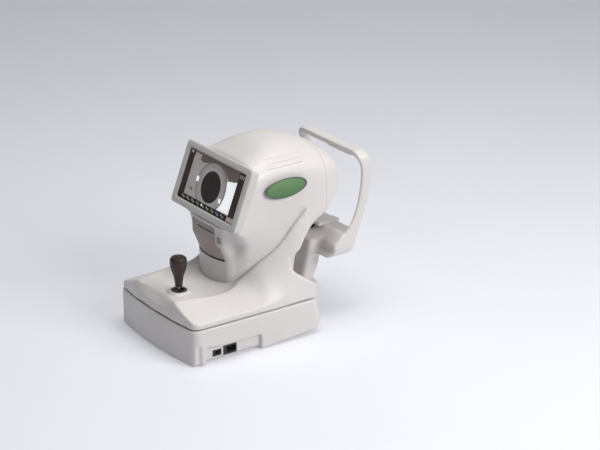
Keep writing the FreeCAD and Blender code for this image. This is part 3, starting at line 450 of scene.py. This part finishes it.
def cover_shape(x, reach, z):
    body = true_distance(cover_top)(x, reach, z)
    body = softmax(body, base_plan(x, reach, COVER_INSET), 6)
    body = softmax(body, true_distance(cover_front)(x, reach, z), 6)
    body = softmax(body, true_distance(lambda a, b, c: b - wing_rear(c))(x, reach, z), 7)
    body = softmax(body, COVER_BOTTOM - z, 2)
    around = np.hypot(x - STICK_SIDE, reach - STICK_REACH) - STICK_COLLAR
    collar = np.hypot(around, (z - 129.5) * 1.6) - 4
    return softmin(body, collar, 5)


WING_SEAM = 0.5
FOOT_SEAM = 0.7


def head_room(x, reach, z):
    """The space the head needs in the cover: a seam's width more, and wider round its foot."""
    seam = WING_SEAM + FOOT_SEAM * smooth_step((190 - z) / 30)
    well = head_body(x, reach, np.maximum(z, HEAD_BOTTOM)) - seam
    return softmax(well, z - 330, 1)


# ---------------------------------------------------------------- base
BASE_TOP = 85.0
BULGE_REAR = 405.0
BULGE_FRONT = 200.0
PANEL_INSET = 9.0
PANEL_MIDDLE = 116.5
PANEL_HALF = 73.0
GROOVE_REACH = 24.0
GROOVE_RADIUS = 7.5
GROOVE_TOP = 48.0
base_rear = eased([(0, 351), (12, 353), (34, 359), (60, 352), (85, 345)])
bulge_half = ramp([(300, 95), (354, 92), (391, 78), (420, 78)])
underside = ramp([(0, 2), (40, 2), (43, 7), (188, 7), (191, 2), (214, 2), (217, 4), (350, 13), (410, 19)])


def base_shape(x, reach, z):
    """The lower casing with its bulge behind, foot blocks, recessed side panels and corner grooves."""
    bulge = true_distance(lambda a, b, c: np.abs(a) - bulge_half(b))(x, reach, z)
    bulge = softmax(bulge, reach - BULGE_REAR, 14)
    bulge = softmax(bulge, BULGE_FRONT - reach, 5)
    body = softmin(base_plan(x, reach, 0, base_rear(z)), bulge, 10)
    body = softmax(body, z - BASE_TOP, 4)
    body = softmax(body, underside(reach) - z, 2)
    panel_top = 42 - 5 * np.clip((reach - 44) / 40, 0, 1)
    recess = softmax(np.abs(reach - PANEL_MIDDLE) - PANEL_HALF, z - panel_top, 6)
    panel = softmax(SIDE - PANEL_INSET - np.abs(x), recess, 3)
    body = softmax(body, -panel, 2.5)
    groove = np.hypot(np.abs(x) - SIDE - 2, reach - GROOVE_REACH) - GROOVE_RADIUS
    groove = softmax(groove, z - GROOVE_TOP, 3)
    return softmax(body, -groove, 2.5)


# ---------------------------------------------------------------- headrest
hoop_outer = eased([(130, 452), (150, 463), (193, 477), (238, 496), (285, 509), (325, 516), (360, 517),
                    (380, 513.5), (396, 506), (410, 498)])
hoop_inner = eased([(130, 380), (170, 420), (200, 441), (228, 463), (262, 478), (300, 487), (335, 491),
                    (360, 489), (377, 483), (410, 476)])
post_front = eased([(20, 358), (85, 368), (109, 374), (147, 383), (186, 392), (220, 400)])
post_rear = eased([(20, 388), (50, 392), (80, 401), (109, 414), (153, 425), (186, 440), (220, 450)])
HOOP_HALF = 123.0
HOOP_BOTTOM = 150.0
HOOP_TOP = 396.0
HOOP_CORNER = 26.0
HOOP_BAND = 9.0
HOOP_SILL = 55.0          # height of the opening's lower edge above the hoop's bottom
HOOP_HEADER = 15.0
BAR_TOP = 205.3
POST_HALF = 60.0
POST_TOP = 184.0
POST_BOTTOM = 80.0
CHIN_REACH = 432.0
CHIN_SHAFT = 8.0
CHIN_SHAFT_BOTTOM = 180.0


def hoop_shape(x, reach, z):
    """The curved hoop with its deep lower bar and one opening."""
    outer = true_distance(lambda a, b, c: b - hoop_outer(c))(x, reach, z)
    inner = true_distance(lambda a, b, c: hoop_inner(c) - b)(x, reach, z)
    band = softmax(outer, inner, 7)
    bar = softmax(outer, 417 - reach - 0.12 * (z - 150), 9)
    bar = softmax(bar, (z - 188 - 0.85 * (reach - 420)) * 0.76, 7)
    bar = softmax(bar, z - BAR_TOP, 3)
    middle = (HOOP_BOTTOM + HOOP_TOP) / 2
    ring_out = rounded_box(x, z - middle, HOOP_HALF, (HOOP_TOP - HOOP_BOTTOM) / 2, HOOP_CORNER)
    hole_low = HOOP_BOTTOM + HOOP_SILL
    hole_high = HOOP_TOP - HOOP_HEADER
    hole_middle = (hole_low + hole_high) / 2
    ring_in = rounded_box(x, z - hole_middle, HOOP_HALF - HOOP_BAND, (hole_high - hole_low) / 2,
                          HOOP_CORNER - HOOP_BAND)
    loop = softmax(band, -ring_in, 5)
    both = softmin(loop, bar, 3)
    return softmax(both, ring_out, 6)


def post_shape(x, reach, z):
    """The leaning post that carries the hoop."""
    front = true_distance(lambda a, b, c: post_front(c) - b)(x, reach, z)
    rear = true_distance(lambda a, b, c: b - post_rear(c))(x, reach, z)
    body = softmax(front, rear, 9)
    body = softmax(body, np.abs(x) - POST_HALF, 12)
    body = softmax(body, z - POST_TOP, 6)
    return softmax(body, POST_BOTTOM - z, 1)


def headrest_shape(x, reach, z):
    body = softmin(hoop_shape(x, reach, z), post_shape(x, reach, z), 16)
    shaft = np.hypot(x, reach - CHIN_REACH) - CHIN_SHAFT
    return softmax(body, -softmax(shaft, CHIN_SHAFT_BOTTOM - z, 1), 1)


PAD_MIDDLE = 375.0
PAD_HALF_WIDE = 51.0
PAD_HALF_HIGH = 15.5


def pad_shape(x, reach, z):
    """The soft pad on the patient's side of the top bar, crowned and drawn in at its edges."""
    outline = rounded_box(x, z - PAD_MIDDLE, PAD_HALF_WIDE, PAD_HALF_HIGH, 9)
    crowned = 1.5 + 5.5 * np.sqrt(np.clip(-outline / 15, 0, 1))
    outward = true_distance(lambda a, b, c: b - hoop_outer(c))(x, reach, z)
    body = softmax(outline, outward - crowned, 2)
    return softmax(body, hoop_outer(z) - 1.5 - reach, 1)


# ---------------------------------------------------------------- materials
def node(tree, kind, **inputs):
    item = tree.nodes.new(kind)
    for name, value in inputs.items():
        item.inputs[name.replace("_", " ")].default_value = value
    return item


def new_material(name, colour, rough, metal=0.0, **shader_values):
    """A principled material whose steady values sit on the shader itself."""
    material = bpy.data.materials.new(name)
    material.use_nodes = True
    tree = material.node_tree
    shader = tree.nodes["Principled BSDF"]
    shader.inputs["Base Color"].default_value = (*colour, 1)
    shader.inputs["Roughness"].default_value = rough
    shader.inputs["Metallic"].default_value = metal
    for key, value in shader_values.items():
        shader.inputs[key.replace("_", " ")].default_value = value
    return material, tree, shader


def object_coordinates(tree):
    return tree.nodes.new("ShaderNodeTexCoord").outputs["Object"]


def noise(tree, scale, detail=4, rough=0.5):
    item = node(tree, "ShaderNodeTexNoise", Scale=scale, Detail=detail, Roughness=rough)
    tree.links.new(object_coordinates(tree), item.inputs["Vector"])
    return item.outputs["Fac"]


def spread(tree, source, low, high):
    item = node(tree, "ShaderNodeMapRange", To_Min=low, To_Max=high)
    item.inputs["From Min"].default_value = 0.3
    item.inputs["From Max"].default_value = 0.7
    tree.links.new(source, item.inputs["Value"])
    return item.outputs["Result"]


def tint(tree, shader, colour, other, factor):
    mix = tree.nodes.new("ShaderNodeMix")
    mix.data_type = "RGBA"
    mix.inputs["A"].default_value = (*colour, 1)
    mix.inputs["B"].default_value = (*other, 1)
    tree.links.new(factor, mix.inputs["Factor"])
    tree.links.new(mix.outputs["Result"], shader.inputs["Base Color"])
    return mix


def bump(tree, shader, height, strength, distance):
    item = node(tree, "ShaderNodeBump", Strength=strength, Distance=distance)
    tree.links.new(height, item.inputs["Height"])
    tree.links.new(item.outputs["Normal"], shader.inputs["Normal"])


def moulded_plastic(name, colour, rough=0.42, grain=1400, depth=0.00005, drift=0.035, coat=0.0):
    """Moulded plastic: a fine spark-eroded grain, a slow drift of tone, and handled, smoother patches."""
    material, tree, shader = new_material(name, colour, rough, Specular_IOR_Level=0.45, Coat_Weight=coat)
    shader.inputs["Coat Roughness"].default_value = 0.25
    darker = tuple(max(value - drift, 0) for value in colour)
    tint(tree, shader, colour, darker, spread(tree, noise(tree, 9, 5), 0, 1))
    tree.links.new(spread(tree, noise(tree, 24, 6), rough - 0.06, rough + 0.08), shader.inputs["Roughness"])
    bump(tree, shader, noise(tree, grain, 2), 0.35, depth)
    return material


def rubber(name, colour):
    material, tree, shader = new_material(name, colour, 0.75, Specular_IOR_Level=0.3)
    lighter = tuple(value + 0.03 for value in colour)
    tint(tree, shader, colour, lighter, spread(tree, noise(tree, 60, 6), 0, 1))
    tree.links.new(spread(tree, noise(tree, 130, 3), 0.62, 0.86), shader.inputs["Roughness"])
    bump(tree, shader, noise(tree, 900, 3), 0.5, 0.00008)
    return material


def metal(name, colour, rough, streak=(400, 400, 400)):
    """Machined metal with fine turning or rolling marks."""
    material, tree, shader = new_material(name, colour, rough, metal=1.0)
    mapping = tree.nodes.new("ShaderNodeMapping")
    mapping.inputs["Scale"].default_value = streak
    tree.links.new(object_coordinates(tree), mapping.inputs["Vector"])
    marks = node(tree, "ShaderNodeTexNoise", Scale=1.0, Detail=5)
    tree.links.new(mapping.outputs["Vector"], marks.inputs["Vector"])
    roughness = spread(tree, marks.outputs["Fac"], rough - 0.08, rough + 0.12)
    tree.links.new(roughness, shader.inputs["Roughness"])
    darker = tuple(value * 0.85 for value in colour)
    tint(tree, shader, colour, darker, spread(tree, noise(tree, 40, 4), 0, 1))
    bump(tree, shader, marks.outputs["Fac"], 0.2, 0.00004)
    return material


def circuit_board(name):
    material, tree, shader = new_material(name, (0.03, 0.16, 0.07), 0.4)
    bricks = node(tree, "ShaderNodeTexBrick", Scale=60.0)
    bricks.inputs["Color1"].default_value = (0.03, 0.18, 0.08, 1)
    bricks.inputs["Color2"].default_value = (0.02, 0.13, 0.06, 1)
    bricks.inputs["Mortar"].default_value = (0.30, 0.26, 0.12, 1)
    tree.links.new(object_coordinates(tree), bricks.inputs["Vector"])
    tree.links.new(bricks.outputs["Color"], shader.inputs["Base Color"])
    tree.links.new(spread(tree, noise(tree, 200, 2), 0.3, 0.5), shader.inputs["Roughness"])
    bump(tree, shader, bricks.outputs["Fac"], 0.3, 0.0001)
    return material


def clear_glass(name, colour, rough=0.02):
    material, tree, shader = new_material(name, colour, rough, Transmission_Weight=1.0, IOR=1.45)
    tree.links.new(spread(tree, noise(tree, 30, 3), rough, rough + 0.03), shader.inputs["Roughness"])
    return material


def badge_plastic(name, rim, shaded_low_tone, lit_high_tone):
    """Domed green plastic with painted light, lighter towards the top as painted shading of the dome, with
    a dark rim round its ellipse.
    """
    material, tree, shader = new_material(name, shaded_low_tone, 0.3, Coat_Weight=0.6)
    low, high = (Vector(corner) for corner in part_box("side_badges"))
    middle = (low + high) / 2
    half = (high - low) / 2
    mapping = tree.nodes.new("ShaderNodeMapping")
    mapping.inputs["Scale"].default_value = (0, 1 / half.y, 1 / half.z)
    mapping.inputs["Location"].default_value = (0, -middle.y / half.y, -middle.z / half.z)
    tree.links.new(object_coordinates(tree), mapping.inputs["Vector"])
    parts = tree.nodes.new("ShaderNodeSeparateXYZ")
    tree.links.new(mapping.outputs["Vector"], parts.inputs["Vector"])
    # painted light: the tone runs from a painted shade at the bottom to a painted lit tone at the top
    rise = node(tree, "ShaderNodeMapRange")
    rise.inputs["From Min"].default_value = -1
    tree.links.new(parts.outputs["Z"], rise.inputs["Value"])
    face = tint(tree, shader, shaded_low_tone, lit_high_tone, rise.outputs["Result"])
    reach = tree.nodes.new("ShaderNodeVectorMath")
    reach.operation = "LENGTH"
    tree.links.new(mapping.outputs["Vector"], reach.inputs[0])
    edge = node(tree, "ShaderNodeMapRange")
    edge.inputs["From Min"].default_value = 0.86
    edge.inputs["From Max"].default_value = 0.93
    tree.links.new(reach.outputs["Value"], edge.inputs["Value"])
    whole = tint(tree, shader, rim, rim, edge.outputs["Result"])
    tree.links.new(face.outputs["Result"], whole.inputs["A"])
    tree.links.new(spread(tree, noise(tree, 90, 4), 0.25, 0.38), shader.inputs["Roughness"])
    bump(tree, shader, noise(tree, 500, 2), 0.25, 0.00003)
    return material


MATERIALS = {
    "casing_white": moulded_plastic("casing_white", (0.70, 0.672, 0.655), rough=0.42, coat=0.12),
    "bezel_grey": moulded_plastic("bezel_grey", (0.60, 0.59, 0.565), rough=0.45),
    # column_grey: its darker taupe tone is painted shade, the shade the printer door sits in under the
    # screen
    "column_grey": moulded_plastic("column_grey", (0.42, 0.36, 0.335), rough=0.5),
    "joystick_brown": moulded_plastic("joystick_brown", (0.038, 0.023, 0.020), rough=0.36, grain=900,
                                      drift=0.012),
    "black_plastic": moulded_plastic("black_plastic", (0.03, 0.028, 0.027), rough=0.45, drift=0.01),
    "paper": moulded_plastic("paper", (0.86, 0.85, 0.82), rough=0.8, grain=2500, depth=0.00003, drift=0.03),
    "pad_white": rubber("pad_white", (0.72, 0.71, 0.68)),
    "rubber_black": rubber("rubber_black", (0.02, 0.02, 0.02)),
    "steel": metal("steel", (0.62, 0.63, 0.65), 0.28, streak=(900, 900, 60)),
    "aluminium": metal("aluminium", (0.70, 0.71, 0.73), 0.38, streak=(80, 900, 900)),
    "bronze": metal("bronze", (0.66, 0.47, 0.24), 0.34),
    "board_green": circuit_board("board_green"),
    "display_glass": clear_glass("display_glass", (0.97, 0.98, 0.98)),
    "lens_glass": clear_glass("lens_glass", (0.80, 0.88, 0.95)),
    # badge_green: the two greens are the painted shade at the bottom and the painted lit tone at the top of
    # the dome
    "badge_green": badge_plastic("badge_green", (0.05, 0.08, 0.05), (0.025, 0.12, 0.02),
                                 (0.12, 0.25, 0.08)),
    "display": moulded_plastic("display", (0.55, 0.56, 0.56), rough=0.3),
}


def dress_cad_nodes():
    """Every CAD node gets the material of its slot."""
    for entry in frame["record"]["subparts"]:
        item = frame["nodes"][entry["node"]]
        item.data.materials.clear()
        item.data.materials.append(MATERIALS[entry["material_slot"]])


dress_cad_nodes()


def piece(item, body, slot, *nodes):
    """Gives a skin its finish, hangs it on its body and hides the CAD nodes it stands for."""
    item.data.materials.append(MATERIALS[slot])
    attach(item, body)
    if nodes:
        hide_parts(*nodes)
    return item


# ---------------------------------------------------------------- skins
def prism(name, points, plane, low, high):
    """A closed cutter: an outline in millimetres pushed between two levels."""
    place = {"xz": lambda a, b, level: (a, level, b),
             "yz": lambda a, b, level: (level, a, b),
             "xy": lambda a, b, level: (a, b, level)}[plane]
    return closed_solid(name, [[place(a, b, level) for a, b in points] for level in (low, high)])


def rectangle(a0, a1, b0, b1):
    return [(a0, b0), (a1, b0), (a1, b1), (a0, b1)]


def disc(a, b, radius, count=64):
    return [(a + radius * math.cos(2 * math.pi * i / count), b + radius * math.sin(2 * math.pi * i / count))
            for i in range(count)]


def carve(item, *cutters):
    """Cuts closed meshes out of a skin and keeps the cut edges crisp."""
    for cutter in cutters:
        cut = item.modifiers.new("cut", "BOOLEAN")
        cut.operation = "DIFFERENCE"
        cut.solver = "EXACT"
        cut.object = cutter
    bpy.context.view_layer.update()
    graph = bpy.context.evaluated_depsgraph_get()
    result = bpy.data.meshes.new_from_object(item.evaluated_get(graph))
    item.modifiers.clear()
    item.data = result
    result.shade_smooth()
    result.set_sharp_from_angle(angle=math.radians(38))
    for cutter in cutters:
        bpy.data.objects.remove(cutter)


LOUVRE_FRONT = 244.0
LOUVRE_REAR = 338.0
LOUVRE_HEIGHTS = (398, 407, 416)
LOUVRE_STEPS = 24
LOUVRE_DEEP = 1.6


def louvre(side, height):
    """A shallow slot that follows the crown's flank."""
    spans = np.linspace(60, 124, 1300)
    rings = []
    for step in range(LOUVRE_STEPS + 1):
        reach = LOUVRE_FRONT + (LOUVRE_REAR - LOUVRE_FRONT) * step / LOUVRE_STEPS
        values = head_shape(spans, np.full(len(spans), reach), np.full(len(spans), float(height)))
        surface = float(spans[np.argmin(np.abs(values))])
        section = ((surface - LOUVRE_DEEP, height), (surface + 6, height - 3), (surface + 6, height + 5),
                   (surface - LOUVRE_DEEP, height + 2))
        rings.append([(side * x, reach, z) for x, z in section])
    return closed_solid("louvre", rings)


def pocket(node_name, margin=0.15):
    """A cutter round a CAD node that sits in the base's side, open to the outside."""
    low, high = (Vector(corner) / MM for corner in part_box(node_name))
    reach_low, reach_high = low.y - FRONT - margin, high.y - FRONT + margin
    outward = (low.x, SIDE + 5) if low.x > 0 else (-SIDE - 5, high.x)
    outline = rectangle(reach_low, reach_high, low.z - margin, high.z + margin)
    return prism("pocket", outline, "yz", *outward)


DOOR_LEFT = -55.0
DOOR_RIGHT = 52.0
DOOR_NARROW = 38.0        # right edge above the slanted corner
DOOR_LOW = 186.0
SLANT_LOW = 198.0
SLANT_HIGH = 228.0
DOOR_HIGH = 262.0
DOOR_THICK = 2.4
DOOR_GAP = 0.7
SLANT_GAP = 1.5           # extra room above the slanted corner, for the door's swing
DOORWAY_LOW = 181.5
DOORWAY = [(DOOR_LEFT - DOOR_GAP, DOORWAY_LOW), (DOOR_RIGHT + DOOR_GAP, DOORWAY_LOW),
           (DOOR_RIGHT + DOOR_GAP, SLANT_LOW + SLANT_GAP), (DOOR_NARROW + DOOR_GAP, SLANT_HIGH + SLANT_GAP),
           (DOOR_NARROW + DOOR_GAP, DOOR_HIGH + DOOR_GAP), (DOOR_LEFT - DOOR_GAP, DOOR_HIGH + DOOR_GAP)]


def door_shape(x, reach, z):
    """A thin sheet of the column's face with a slanted upper right corner."""
    column = column_shape(x, reach, z)
    sheet = softmax(column, -DOOR_THICK - column, 0.8)
    slope = (DOOR_NARROW - DOOR_RIGHT) / (SLANT_HIGH - SLANT_LOW)
    slanted = (x - (DOOR_RIGHT + slope * (z - SLANT_LOW))) / math.hypot(1, slope)
    right = np.where(z > SLANT_HIGH, x - DOOR_NARROW, np.maximum(slanted, x - DOOR_RIGHT))
    sides = softmax(right, DOOR_LEFT - x, 1.5)
    ends = softmax(DOOR_LOW - z, z - DOOR_HIGH, 1.5)
    return softmax(sheet, softmax(sides, ends, 1.5), 0.9)


AXIS_HEIGHT = 334.0       # the measuring axis
WINDOW_RADIUS = 17.4
OPTICS_RADIUS = 28.0
OPTICS_REAR = 443.0
NOSE_GAP = 0.5
RING_SEAT_RADIUS = 19.0
RING_SEAT_BOTTOM = 191.9
SEAM_FACE = rectangle(-150, 150, 60, 480)
casing = moulded("casing_skin", casing_shape, (-134, 130, 98), (134, 412, 458), 3.4)
carve(casing,
      prism("seam_trim", SEAM_FACE, "xz", NOSE_SEAM, 430),
      moulded("monitor_room", monitor_room, (-138, 124, 264), (138, 222, 432), 2.6),
      prism("doorway", DOORWAY, "xz", 120, 172),
      prism("printer_bay", rectangle(-50, 50, 192, 263), "xz", 150, 214),
      prism("lift_well", rectangle(-74, 74, 60, 255), "xz", 222, 304),
      prism("catch_hole", rectangle(44.4, 57.6, 229.4, 244.6), "xz", 120, 156),
      *(louvre(side, height) for side in (-1, 1) for height in LOUVRE_HEIGHTS))
piece(casing, "head", "casing_white", "head_casing", "printer_column")
# the door's darker grey finish is painted shade
door = moulded("door_skin", door_shape, (-60, 138, 182), (58, 168, 266), 1.3)
carve(door, prism("paper_slot", rectangle(-33, 33, 247, 250), "xz", 130, 170))
piece(door, "door", "column_grey", "printer_door")
monitor = moulded("monitor_skin", monitor_shape, (-136, 126, 268), (136, 216, 428), 2.2)
piece(monitor, "head", "bezel_grey", "monitor_bezel", "monitor_back")
nose = moulded("nose_skin", nose_shape, (-134, 378, 220), (134, 470, 450), 3.2)
carve(nose,
      prism("seam_trim", SEAM_FACE, "xz", 360, NOSE_SEAM + NOSE_GAP),
      prism("window_hole", disc(0, AXIS_HEIGHT, WINDOW_RADIUS), "xz", 380, 480),
      prism("optics_bay", disc(0, AXIS_HEIGHT, OPTICS_RADIUS), "xz", 380, OPTICS_REAR))
piece(nose, "head", "casing_white", "nose_cover")
cover = moulded("cover_skin", cover_shape, (-164, -6, 82), (164, 356, 320), 3.2)
carve(cover,
      prism("stick_hole", disc(STICK_SIDE, STICK_REACH, STICK_HOLE), "xy", 60, 160),
      moulded("head_room", head_room, (-138, 126, 60), (138, 386, 340), 3.4))
piece(cover, "carriage", "casing_white", "carriage_cover")
base = moulded("base_skin", base_shape, (-166, -6, -4), (166, 412, 92), 3.0)
carve(base, pocket("mains_inlet"), pocket("data_socket"), pocket("switch_frame"))
piece(base, "base", "casing_white", "base_casing")
pad = moulded("pad_skin", pad_shape, (-56, 500, 354), (56, 530, 396), 1.6)
piece(pad, "base", "pad_white", "forehead_pad")
for socket, outline in (("data_socket", rectangle(64, 87, 12, 27)),
                        ("mains_inlet", rectangle(92, 126, 9, 31))):
    surround = prism(socket + "_surround", outline, "yz", SIDE - 12, SIDE - 8.4)
    carve(surround, pocket(socket))
    piece(surround, "base", "black_plastic")
headrest = moulded("headrest_skin", headrest_shape, (-130, 352, 74), (130, 526, 402), 2.8)
carve(headrest,
      prism("ring_seat", disc(0, CHIN_REACH, RING_SEAT_RADIUS), "xy", RING_SEAT_BOTTOM, 240))
piece(headrest, "base", "casing_white", "headrest_frame", "headrest_post")


# ---------------------------------------------------------------- screen picture
def glow(name, colour, strength):
    """A lit part of the picture, with the faint mesh of the display's dots."""
    material, tree, shader = new_material(name, colour, 0.35)
    shader.inputs["Emission Color"].default_value = (*colour, 1)
    shader.inputs["Emission Strength"].default_value = strength
    darker = tuple(value * 0.9 for value in colour)
    tint(tree, shader, colour, darker, spread(tree, noise(tree, 60, 4), 0, 1))
    tree.links.new(spread(tree, noise(tree, 300, 2), 0.3, 0.45), shader.inputs["Roughness"])
    bump(tree, shader, noise(tree, 2000, 2), 0.2, 0.00002)
    return material


PICTURE = {
    "field": glow("picture_field", (0.56, 0.52, 0.51), 0.32),
    "white": glow("picture_white", (0.95, 0.95, 0.97), 0.75),
    "haze": glow("picture_haze", (0.24, 0.19, 0.18), 0.2),
    "dark": glow("picture_dark", (0.085, 0.05, 0.045), 0.1),
    "black": glow("picture_black", (0.035, 0.02, 0.02), 0.1),
    "pupil": glow("picture_pupil", (0.065, 0.042, 0.040), 0.1),
    "ring": glow("picture_ring", (0.50, 0.48, 0.48), 0.28),
    "pink": glow("picture_pink", (0.62, 0.50, 0.47), 0.3),
    "blue": glow("picture_blue", (0.16, 0.20, 0.50), 0.5),
    "green": glow("picture_green", (0.20, 0.42, 0.18), 0.5),
}
SCREEN_WIDE = 226.0
SCREEN_HIGH = 116.0
PICTURE_DEPTH = 6.6       # how far the lowest layer lies behind the screen's face
LAYER_STEP = 0.28
PLATE_THICK = 0.2
picture_count = [0]


def picture(points, kind, layer):
    """A thin plate of the picture; points run in shares of the glass, across and down."""
    depth = PICTURE_DEPTH - LAYER_STEP * layer
    rings = []
    for out in (-depth, PLATE_THICK - depth):
        ring = []
        for a, b in points:
            up = (0.5 - b) * SCREEN_HIGH
            reach = MONITOR_REACH + up * math.sin(MONITOR_TILT) - out * math.cos(MONITOR_TILT)
            z = MONITOR_MIDDLE + up * math.cos(MONITOR_TILT) + out * math.sin(MONITOR_TILT)
            ring.append(((a - 0.5) * SCREEN_WIDE, reach, z))
        rings.append(ring)
    picture_count[0] += 1
    plate = closed_solid("picture_%02d_%s" % (picture_count[0], kind), rings)
    plate.data.materials.append(PICTURE[kind])
    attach(plate, "head")


def spot(across, down, radius, count=48, squash=1.0):
    """A round outline on the glass; the radius is in millimetres."""
    angles = [2 * math.pi * i / count for i in range(count)]
    return [(across + radius * math.cos(angle) / SCREEN_WIDE,
             down + squash * radius * math.sin(angle) / SCREEN_HIGH) for angle in angles]


def draw_picture():
    """A measuring view: the eye's dark pupil in its ring of light, between two bars of keys."""
    picture(rectangle(0.0, 1.0, 0.0, 1.0), "field", 0)
    picture([(0.08, 0.0), (0.90, 0.0), (0.90, 0.20), (0.76, 0.30), (0.62, 0.10), (0.40, 0.10), (0.26, 0.17),
             (0.08, 0.10)], "haze", 1)
    picture([(0.73, 0.28), (0.885, 0.22), (0.885, 0.86), (0.62, 0.88)], "white", 1)
    picture(rectangle(0.095, 0.20, 0.04, 0.16), "pink", 2)
    picture(spot(0.492, 0.537, 57), "haze", 2)
    picture(spot(0.492, 0.537, 54), "ring", 3)
    picture(spot(0.492, 0.537, 43), "field", 4)
    picture(spot(0.492, 0.537, 36.5), "pupil", 5)
    picture(spot(0.245, 0.50, 5, squash=1.3), "white", 5)
    picture(spot(0.69, 0.70, 4.5, squash=1.3), "white", 5)
    picture(rectangle(0.16, 0.185, 0.715, 0.75), "black", 3)
    picture(rectangle(0.19, 0.20, 0.73, 0.77), "black", 3)
    picture(rectangle(0.0, 0.085, 0.0, 1.0), "dark", 4)
    picture(rectangle(0.885, 1.0, 0.0, 1.0), "dark", 4)
    picture(rectangle(0.0, 1.0, 0.885, 1.0), "black", 5)
    picture(rectangle(0.88, 0.99, 0.89, 0.985), "pink", 6)
    for index in range(9):
        left = 0.07 + 0.088 * index
        kind = ("ring", "pink", "ring", "green", "white", "ring", "green", "blue", "ring")[index]
        picture(rectangle(left, left + 0.022, 0.91, 0.95), kind, 6)
        picture(rectangle(left + 0.032, left + 0.05, 0.93, 0.97), "field", 6)
    for index in range(3):
        picture(rectangle(0.90 + 0.03 * index, 0.915 + 0.03 * index, 0.05, 0.12), "ring", 5)
    picture(rectangle(0.02, 0.06, 0.03, 0.08), "field", 5)


draw_picture()


# ---------------------------------------------------------------- stage and light
OBJECT_MIDDLE = Vector((0, 0, 0.25))
FLOOR_HALF_WIDE = 9.0
FLOOR_FRONT = -6.0
BEND_START = 3.0
BEND_RADIUS = 2.0
BEND_STEPS = 12
BACKDROP_HIGH = 6.0


def stage_floor():
    """A pale floor that curves up into a backdrop."""
    profile = [(FLOOR_FRONT, 0.0), (BEND_START, 0.0)]
    for step in range(BEND_STEPS + 1):
        angle = math.radians(90 * step / BEND_STEPS)
        profile.append((BEND_START + BEND_RADIUS * math.sin(angle),
                        BEND_RADIUS - BEND_RADIUS * math.cos(angle)))
    profile.append((BEND_START + BEND_RADIUS, BACKDROP_HIGH))
    vertices = [(across, along, up) for along, up in profile
                for across in (-FLOOR_HALF_WIDE, FLOOR_HALF_WIDE)]
    faces = [(2 * i, 2 * i + 1, 2 * i + 3, 2 * i + 2) for i in range(len(profile) - 1)]
    mesh = bpy.data.meshes.new("floor")
    mesh.from_pydata(vertices, [], faces)
    floor = new_object("floor", mesh)
    floor.rotation_euler = (0, 0, math.radians(CAMERA_AZIMUTH))
    material, tree, shader = new_material("floor_paper", (0.68, 0.69, 0.73), 0.6)
    shader.inputs["Emission Color"].default_value = (0.93, 0.95, 1.0, 1)
    shader.inputs["Emission Strength"].default_value = 0.19
    tree.links.new(spread(tree, noise(tree, 3, 3), 0.55, 0.7), shader.inputs["Roughness"])
    mesh.materials.append(material)


def area_light(name, azimuth, elevation, distance, size, power, colour):
    """A rectangular lamp aimed at the object's middle, placed by its angles in degrees."""
    away = away_from_origin(azimuth, elevation)
    data = bpy.data.lights.new(name, "AREA")
    data.shape = "RECTANGLE"
    data.size = size
    data.size_y = size * 0.7
    data.energy = power
    data.color = colour
    lamp = bpy.data.objects.new(name, data)
    lamp.location = OBJECT_MIDDLE + away * distance
    lamp.rotation_euler = (-away).to_track_quat("-Z", "Y").to_euler()
    bpy.context.collection.objects.link(lamp)


stage_floor()
area_light("key", azimuth=110, elevation=32, distance=3.2, size=2.0, power=67, colour=(1.0, 0.985, 0.98))
area_light("top", azimuth=75, elevation=86, distance=3.0, size=2.5, power=68, colour=(1.0, 0.99, 0.985))
world = bpy.data.worlds.new("studio")
world.use_nodes = True
sky = world.node_tree.nodes["Background"]
sky.inputs["Color"].default_value = (0.84, 0.88, 0.95, 1)
sky.inputs["Strength"].default_value = 0.07
bpy.context.scene.world = world
bpy.context.scene.view_settings.view_transform = "Standard"
